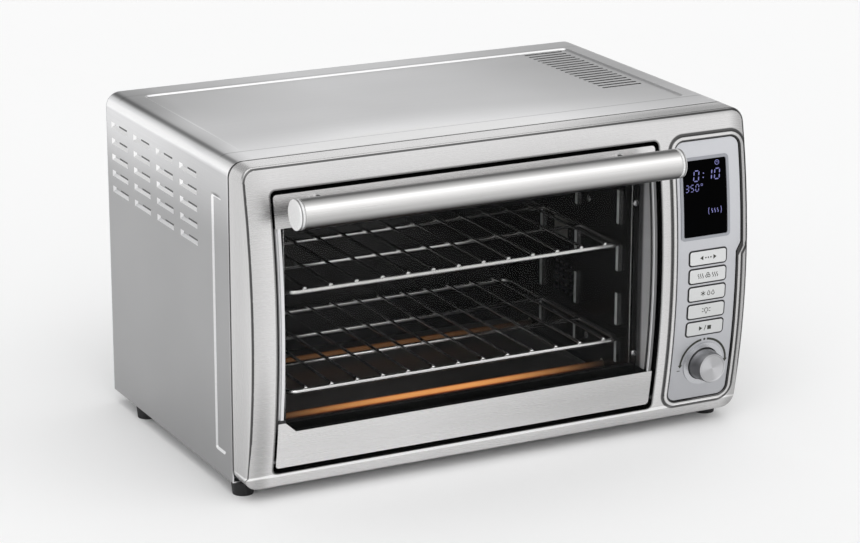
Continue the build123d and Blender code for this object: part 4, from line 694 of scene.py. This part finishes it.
def wireRack(name, node, body):
    # a rounded loop of rail, two cross bars under the wires, and the wires with their melted ends
    low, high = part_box(node)
    look = rackLook
    r, w = look["rail"], look["wire"]
    level = low.z + r * math.cos(math.pi / 6)
    left, right, near, far = low.x + r, high.x - r, low.y + r, high.y - r
    loop = roundedLoop((left, near), (right, far), look["corner"])
    path = np.column_stack([loop, np.full(len(loop), level)])
    parts = [tubeAlong(path, r, look["railSides"], closed=True)]
    for share in look["barShares"]:
        y = near + (far - near) * share
        parts.append(tubeAlong([(left, y, level), (right, y, level)], look["bar"], look["sides"]))
    wireZ = level + r + w - look["sink"]
    first = (left + right) / 2 - look["pitch"] * (look["count"] - 1) / 2
    start, end, bend = near - r * look["reach"], far + r * look["reach"], look["bend"]
    weld = [look["weld"] * share for share in look["weldShape"]]
    for x in first + look["pitch"] * np.arange(look["count"]):
        path = [(x, y, wireZ) for y in (start, start + bend, end - bend, end)]
        parts.append(tubeAlong(path, w, look["sides"]))
        parts += [ball((x, y, wireZ - look["weldDrop"]), weld) for y in (start, end)]
    rack = meshPiece(name, *joined(parts), wireChrome, body, "rack_chrome")
    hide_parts(node)


wireRack("lowerRackWires", "lower_rack", "lower_shelf")
wireRack("upperRackWires", "upper_rack", "upper_shelf")
print("racks made")

mouthLook = {"edge": 0.00045, "seam": 0.0003, "seamOut": 0.0032, "corner": 0.004, "floor": 0.0370,
             "ceiling": 0.2500}


def cavityMouth():
    # the rolled edge of the liner's mouth and the seam round it, as two thin tubes of bright steel on the
    # black-enamelled mouth: a painted highlight for the light along that edge and seam
    look = mouthLook
    parts = []
    for out, radius in ((0.0, look["edge"]), (look["seamOut"], look["seam"])):
        loop = roundedLoop((linerWall["left"] - out, look["floor"] - out),
                           (linerWall["right"] + out, look["ceiling"] + out), look["corner"])
        path = np.column_stack([loop[:, 0], np.full(len(loop), mouthPlane), loop[:, 1]])
        parts.append(tubeAlong(path, radius, 8, closed=True, up=(0.0, 1.0, 0.0)))
    meshPiece("cavityMouthEdges", *joined(parts), turnedSteel, "oven", "black_enamel")


screwLook = {"radius": 0.0032, "rise": 0.0012, "y": -0.026, "levels": (0.1947, 0.0660)}
frameScrews = {"radius": 0.0030, "rise": 0.0012, "y": -0.1101, "places": ((0.1400, 0.2116), (0.1412, 0.0736))}


def screwHeads():
    # low domed heads, half sunk: two on the cavity's right wall and two on the door's inner frame
    rise, radius = screwLook["rise"], screwLook["radius"]
    heads = [ball((linerWall["right"], screwLook["y"], z), (rise, radius, radius), 10, 16)
             for z in screwLook["levels"]]
    meshPiece("cavityWallScrews", *joined(heads), turnedSteel, "oven", "plain_steel")
    rise, radius = frameScrews["rise"], frameScrews["radius"]
    heads = [ball((x, frameScrews["y"], z), (radius, rise, radius), 10, 16) for x, z in frameScrews["places"]]
    meshPiece("doorFrameScrews", *joined(heads), turnedSteel, "door", "plain_steel")


cavityMouth()
screwHeads()
print("cavity trimmed")

handleLook = {"sides": 96, "wall": 0.0015, "groove": 0.0008, "cap": 0.005, "dome": 0.0015, "shadow": 0.0009,
              "gap": 0.00005, "broken": 0.0003, "capBroken": 0.0002, "corner": 35.0}
barLow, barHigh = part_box("handle_bar")
barRadius = (barHigh.z - barLow.z) / 2
barY, barZ = (barLow.y + barHigh.y) / 2, (barLow.z + barHigh.z) / 2


def lathe(profile, sides):
    # points (x, r) turned round the handle's axis: y = axis + r cos a, z = axis + r sin a
    profile = np.asarray(profile, float)
    angle = np.linspace(0, 2 * np.pi, sides, endpoint=False)
    x = np.repeat(profile[:, 0][:, None], sides, 1)
    y = barY + profile[:, 1][:, None] * np.cos(angle)
    z = barZ + profile[:, 1][:, None] * np.sin(angle)
    return np.stack([x, y, z], -1).reshape(-1, 3), gridFaces(len(profile), sides, closeColumns=True)


def barProfile():
    # a tube: out along its skin, back along its bore, with edges just broken
    broken, bore = handleLook["broken"], barRadius - handleLook["wall"]
    return [(barLow.x, bore), (barLow.x, barRadius - broken), (barLow.x + broken, barRadius),
            (barHigh.x - broken, barRadius), (barHigh.x, barRadius - broken), (barHigh.x, bore),
            (barLow.x, bore)]


def capProfile(inner, outward):
    # dome: a quarter ellipse from the rim to a flat face, behind it a straight band and a narrow groove
    outer = inner + outward * handleLook["cap"]
    turn = np.linspace(0, np.pi / 2, 9)
    dome, shadow = handleLook["dome"], barRadius - handleLook["shadow"]
    along = outer - outward * dome / 2 * (1 - np.sin(turn))
    rim = np.stack([along, barRadius - dome * (1 - np.cos(turn))], -1)
    band = inner + outward * handleLook["groove"]
    seat, broken = inner + outward * handleLook["gap"], handleLook["capBroken"]
    head = [(seat, 0.0), (seat, shadow), (band, shadow), (band, barRadius - broken),
            (band + outward * broken, barRadius)]
    return np.vstack([head, rim, [(outer, 0.0)]])


tube = lathe(barProfile(), handleLook["sides"])
caps = [lathe(capProfile(*end), handleLook["sides"]) for end in ((barLow.x, -1), (barHigh.x, 1))]
handleTube = meshPiece("handleTube", *tube, handleSteel, "door", "handle_steel")
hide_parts("handle_bar")
handleCaps = meshPiece("handleCaps", *joined(caps), capSteel, "door", "cap_silver")
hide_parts("handle_end_caps")
for piece in (handleTube, handleCaps):
    piece.data.set_sharp_from_angle(angle=math.radians(handleLook["corner"]))
print("handle made")


def ribbon(points, width):
    # a flat strip along a line in (x, z): each point moved half the width to both sides
    points = np.asarray(points, float)
    ahead = np.gradient(points, axis=0)
    ahead /= np.linalg.norm(ahead, axis=1)[:, None]
    side = np.stack([-ahead[:, 1], ahead[:, 0]], -1) * width / 2
    verts = np.stack([points + side, points - side], 1).reshape(-1, 2)
    return verts, gridFaces(len(points), 2)


def arc(x, z, radius, start, end, steps=24):
    # points of a circle between two angles in degrees
    turn = np.radians(np.linspace(start, end, steps))
    return np.stack([x + radius * np.cos(turn), z + radius * np.sin(turn)], -1)


def line(x0, z0, x1, z1):
    return np.linspace((x0, z0), (x1, z1), 3)


def waves(x, z, steps, look, pen):
    # upright waves a pitch apart: the sideways swing is a sine of the height
    pitch, swing, height = look
    rise = np.linspace(0, 1, 14)
    aside, up = swing * np.sin(rise * 2 * np.pi), z - height / 2 + height * rise
    return [ribbon(np.stack([x + pitch * k + aside, up], -1), pen) for k in steps]


def solidShape(points):
    return np.asarray(points, float), [list(range(len(points)))]


inkDepth = 0.00005


def markPiece(name, parts, inset, material, body, slotName):
    # lays flat (x, z) strips, in millimetres from the front's lower edge, on the bowed front
    verts, faces = joined(parts)
    x, z = verts[:, 0] / 1000, bow["low"] + verts[:, 1] / 1000
    laid = np.stack([x, faceY(z, inset / 1000), z], -1)
    piece = meshPiece(name, laid, faces, material, body, slotName, smooth=False)
    form = bmesh.new()
    form.from_mesh(piece.data)
    backward = [face for face in form.faces if face.normal.y > 0]
    bmesh.ops.reverse_faces(form, faces=backward)
    form.to_mesh(piece.data)
    form.free()
    thick = piece.modifiers.new("ink", "SOLIDIFY")
    thick.thickness, thick.offset = inkDepth, 0.0


segmentMap = {"0": "abcdef", "1": "bc", "3": "abcdg", "5": "acdfg"}
segmentSlant = 0.12      # how far a digit leans for its height


def segmentDigit(char, x, z, width, height, pen):
    # leaning bars with pointed ends
    half, gap = height / 2, pen * 0.6
    bars = {"a": ((0, height), (width, height)), "g": ((0, half), (width, half)), "d": ((0, 0), (width, 0)),
            "f": ((0, half), (0, height)), "e": ((0, 0), (0, half)),
            "b": ((width, half), (width, height)), "c": ((width, 0), (width, half))}
    parts = []
    for bar in segmentMap[char]:
        start, end = (np.array(p, float) for p in bars[bar])
        along = (end - start) / np.linalg.norm(end - start)
        across = np.array([-along[1], along[0]]) * pen / 2
        a, b, tip = start + along * gap, end - along * gap, along * pen / 2
        shape = np.array([a, a + tip + across, b - tip + across, b, b - tip - across, a + tip - across])
        shape[:, 0] += shape[:, 1] * segmentSlant
        parts.append(solidShape(shape + [x, z]))
    return parts


displayMarks = {    # millimetres across, and up from the front's lower edge
    "time": (("0", 184.0), ("1", 197.2), ("0", 205.2)),
    "timeZ": 218.9, "timeSize": (4.9, 9.0), "timePen": 0.95,
    "heat": (("3", 175.4), ("5", 180.5), ("0", 185.6)),
    "heatZ": 210.2, "heatSize": (3.0, 5.8), "heatPen": 0.65,
    "colon": (193.6, (2.7, 6.3), 0.6), "degree": (192.2, 215.4, 0.85, 0.4),
    "clock": (208.6, 233.2, 2.0), "hands": (1.2, 1.0), "warmth": (205.0, 191.5), "wave": (2.9, 0.5, 3.8),
    "bracket": (1.6, 8.2, 22), "pen": 0.5, "wavePen": 0.65}


def displayInk():
    look, parts = displayMarks, []
    for name in ("time", "heat"):
        for char, x in look[name]:
            parts += segmentDigit(char, x, look[name + "Z"], *look[name + "Size"], look[name + "Pen"])
    x, rises, radius = look["colon"]
    for rise in rises:
        parts.append(solidShape(arc(x + rise * segmentSlant, look["timeZ"] + rise, radius, 0, 330, 12)))
    x, z, radius, pen = look["degree"]
    parts.append(ribbon(arc(x, z, radius, 0, 360, 20), pen))
    x, z, radius = look["clock"]
    minute, hour = look["hands"]
    parts += [ribbon(arc(x, z, radius, 0, 360, 28), look["pen"]),
              ribbon(line(x, z, x, z + minute), look["pen"]), ribbon(line(x, z, x + hour, z), look["pen"])]
    x, z = look["warmth"]
    shift, radius, spread = look["bracket"]      # two brackets round three waves
    for side in (0, 180):
        centre = x - shift * math.cos(math.radians(side))
        parts.append(ribbon(arc(centre, z, radius, side - spread, side + spread, 12), look["pen"]))
    parts += waves(x, z, (-1, 0, 1), look["wave"], look["wavePen"])
    markPiece("displaySegments", parts, 0.04, segmentInk, "oven", "display_black")


dialMarks = {"x": 199.6, "z": 50.0, "radius": 23.4, "pen": 2.0, "spans": ((180, 99), (85, 2)),
             "dot": (0.6, 1.1), "arrow": (2.3, 1.2, 1.8), "minus": (175.0, 45.7, 1.5, 0.7)}


def dialInk():
    # two arcs that start at a dot over the dial and end in arrow heads that point down
    x, z, radius, pen = (dialMarks[k] for k in ("x", "z", "radius", "pen"))
    parts = [ribbon(arc(x, z, radius, *span), pen) for span in dialMarks["spans"]]
    aside, dot = dialMarks["dot"]
    parts.append(solidShape(arc(x - aside, z + radius, dot, 0, 330, 12)))
    half, rise, drop = dialMarks["arrow"]
    for tipX in (x - radius, x + radius):
        parts.append(solidShape([(tipX - half, z + rise), (tipX + half, z + rise), (tipX, z - drop)]))
    left, level, half, stroke = dialMarks["minus"]
    parts.append(ribbon(line(left - half, level, left + half, level), stroke))
    markPiece("dialMarks", parts, 0.16, printInk, "oven", "panel_silver")


keyMarks = {"x": 197.8, "top": 150.2, "pitch": 16.4, "pen": 0.62, "wave": (2.2, 0.6, 4.4)}


def arrowHead(x, z, size, way):
    return solidShape([(x, z - size), (x, z + size), (x + way * size * 1.5, z)])


def keySymbol(step, x, z, pen):
    if step == 0:      # choice: two arrow heads with three dots between them
        dots = [solidShape(arc(x + 2.6 * k, z, 0.75, 0, 330, 10)) for k in (-1, 0, 1)]
        return dots + [arrowHead(x - 5.2, z, 2.1, -1), arrowHead(x + 5.2, z, 2.1, 1)]
    if step == 1:      # moving warm air: three leaves round a hub, and waves on both sides
        leaves = [ribbon(arc(x + 1.4 * math.cos(a), z + 1.4 * math.sin(a), 1.1, math.degrees(a) - 150,
                             math.degrees(a) + 150, 16), pen) for a in np.radians([90, 210, 330])]
        hub = [solidShape(arc(x, z, 0.5, 0, 330, 10))]
        warm = [waves(x + start, z, range(3), keyMarks["wave"], pen) for start in (-9.6, 5.2)]
        return leaves + hub + warm[0] + warm[1]
    if step == 2:      # thaw: a six-armed star beside two drops
        arms = [ribbon(line(x - 4.2 - 2.5 * math.cos(a), z - 2.5 * math.sin(a), x - 4.2 + 2.5 * math.cos(a),
                            z + 2.5 * math.sin(a)), pen) for a in np.radians([30, 90, 150])]
        drops = [ribbon(np.vstack([arc(x + k, z - 0.6, 1.4, -225, 45, 16), [(x + k, z + 2.4)],
                                   arc(x + k, z - 0.6, 1.4, -225, -215, 2)]), pen) for k in (1.6, 6.0)]
        return arms + drops
    if step == 3:      # lamp: a bulb over its base, with rays
        rays = [ribbon(line(x + 2.9 * math.cos(a), z + 0.7 + 2.9 * math.sin(a), x + 4.6 * math.cos(a),
                            z + 0.7 + 4.6 * math.sin(a)), pen) for a in np.radians([-20, 20, 160, 200])]
        return rays + [ribbon(arc(x, z + 0.7, 1.8, -55, 235, 20), pen),
                       ribbon(line(x - 0.9, z - 1.5, x + 0.9, z - 1.5), pen),
                       ribbon(line(x - 0.7, z - 2.4, x + 0.7, z - 2.4), pen)]
    # run and stop: an arrow head, a stroke and a square
    return [arrowHead(x - 6.0, z, 2.2, 1), ribbon(line(x - 0.7, z - 2.4, x + 1.0, z + 2.4), pen),
            solidShape([(x + 2.6, z - 1.9), (x + 2.6, z + 1.9), (x + 6.4, z + 1.9), (x + 6.4, z - 1.9)])]


displayInk()
dialInk()
for step in range(5):
    markPiece(f"keySymbol{step + 1}",
              keySymbol(step, keyMarks["x"], keyMarks["top"] - step * keyMarks["pitch"], keyMarks["pen"]),
              -0.74, printInk, f"key_{step + 1}", "button_silver")
print("marks made")

floorLook = {"pale": "#f7f7f7", "other": "#f6f6f6", "size": 60.0}


def makeFloor():
    # seamless paper: one pale sheet with a trace of unevenness, far wider than the view
    material, tree, shader, seen = newMaterial("palePaper", {"Roughness": 0.95, "Specular IOR Level": 0.0})
    uneven = noise(tree, seen["place"], 3.0, 2.0)
    paper = blend(tree, uneven, hexColour(floorLook["other"]), hexColour(floorLook["pale"]))
    tree.links.new(paper, shader.inputs["Base Color"])
    half = floorLook["size"] / 2
    mesh = bpy.data.meshes.new("floorSheet")
    corners = [(-half, -half, 0), (half, -half, 0), (half, half, 0), (-half, half, 0)]
    mesh.from_pydata(corners, [], [(0, 1, 2, 3)])
    mesh.materials.append(material)
    linked("floorSheet", mesh)


lamps = {  # where each lamp stands, how wide it looks in degrees, and its strength; all aim at the oven
    "frontLeft": ((-1.2, -2.2, 2.6), 60.0, 0.62),
    "overhead": ((0.3, -0.4, 3.0), 80.0, 0.70)}


def farLamp(name, place, width, strength):
    # a wide far lamp lights the floor evenly
    lamp = bpy.data.lights.new(name, "SUN")
    lamp.angle, lamp.energy = math.radians(width), strength
    holder = linked(name, lamp)
    holder.location = place
    holder.rotation_euler = (-Vector(place)).to_track_quat("-Z", "Y").to_euler()


roomLook = {"horizon": 0.93, "band": 0.34, "zenith": 0.60, "window": 0.75,
            "heights": ((0.32, 0.46), (0.62, 0.90)),
            "frame": ((1, -0.15, -0.55), (2, 0.30, 0.50), (2, 0.90, 0.75))}


def makeRoom():
    # a pale room: bright at the height of the horizon, a dark band over it, a paler ceiling, and a wide soft
    # window of light high up in front
    world = bpy.data.worlds.new("studio")
    bpy.context.scene.world = world
    world.use_nodes = True
    tree = world.node_tree
    tree.nodes.clear()
    way = addNode(tree, "SeparateXYZ", {
        "Vector": addNode(tree, "TexCoord").outputs["Generated"]}).outputs
    level = roomLook["horizon"]
    shares = (roomLook["band"] / level, roomLook["zenith"] / roomLook["band"])
    for (low, high), share in zip(roomLook["heights"], shares):
        level = maths(tree, "MULTIPLY", softRamp(tree, way[2], low, high, 1.0, share), level)
    window = roomLook["window"]
    for reading, low, high in roomLook["frame"]:
        window = maths(tree, "MULTIPLY", softRamp(tree, way[reading], low, high), window)
    level = maths(tree, "ADD", level, window)
    back = addNode(tree, "Background", {"Color": level, "Strength": 1.0})
    addNode(tree, "OutputWorld", {"Surface": back.outputs[0]})


cameraPlace = {"position": (-1.1632, -2.2510, 0.9111), "yaw": 0.4752, "pitch": 0.2960, "roll": 0.0026,
               "lens": 124.77, "sensor": 36.0}


def makeCamera():
    # looks along yaw and pitch, then rolls about that line
    yaw, pitch, roll = (cameraPlace[k] for k in ("yaw", "pitch", "roll"))
    ahead = Vector((math.sin(yaw) * math.cos(pitch), math.cos(yaw) * math.cos(pitch), -math.sin(pitch)))
    right = Vector((math.cos(yaw), -math.sin(yaw), 0.0))
    up = right.cross(ahead)
    turned = right * math.cos(roll) + up * math.sin(roll)
    lifted = up * math.cos(roll) - right * math.sin(roll)
    lens = bpy.data.cameras.new("view")
    lens.lens, lens.sensor_width = cameraPlace["lens"], cameraPlace["sensor"]
    lens.clip_start, lens.clip_end = 0.1, 80.0
    camera = linked("view", lens)
    camera.matrix_world = Matrix.Translation(cameraPlace["position"]) @ Matrix(
        (turned, lifted, -ahead)).transposed().to_4x4()
    bpy.context.scene.camera = camera


makeFloor()
makeRoom()
for name, (place, width, strength) in lamps.items():
    farLamp(name, place, width, strength)
makeCamera()
bpy.context.scene.view_settings.view_transform = "Standard"
print("stage set")
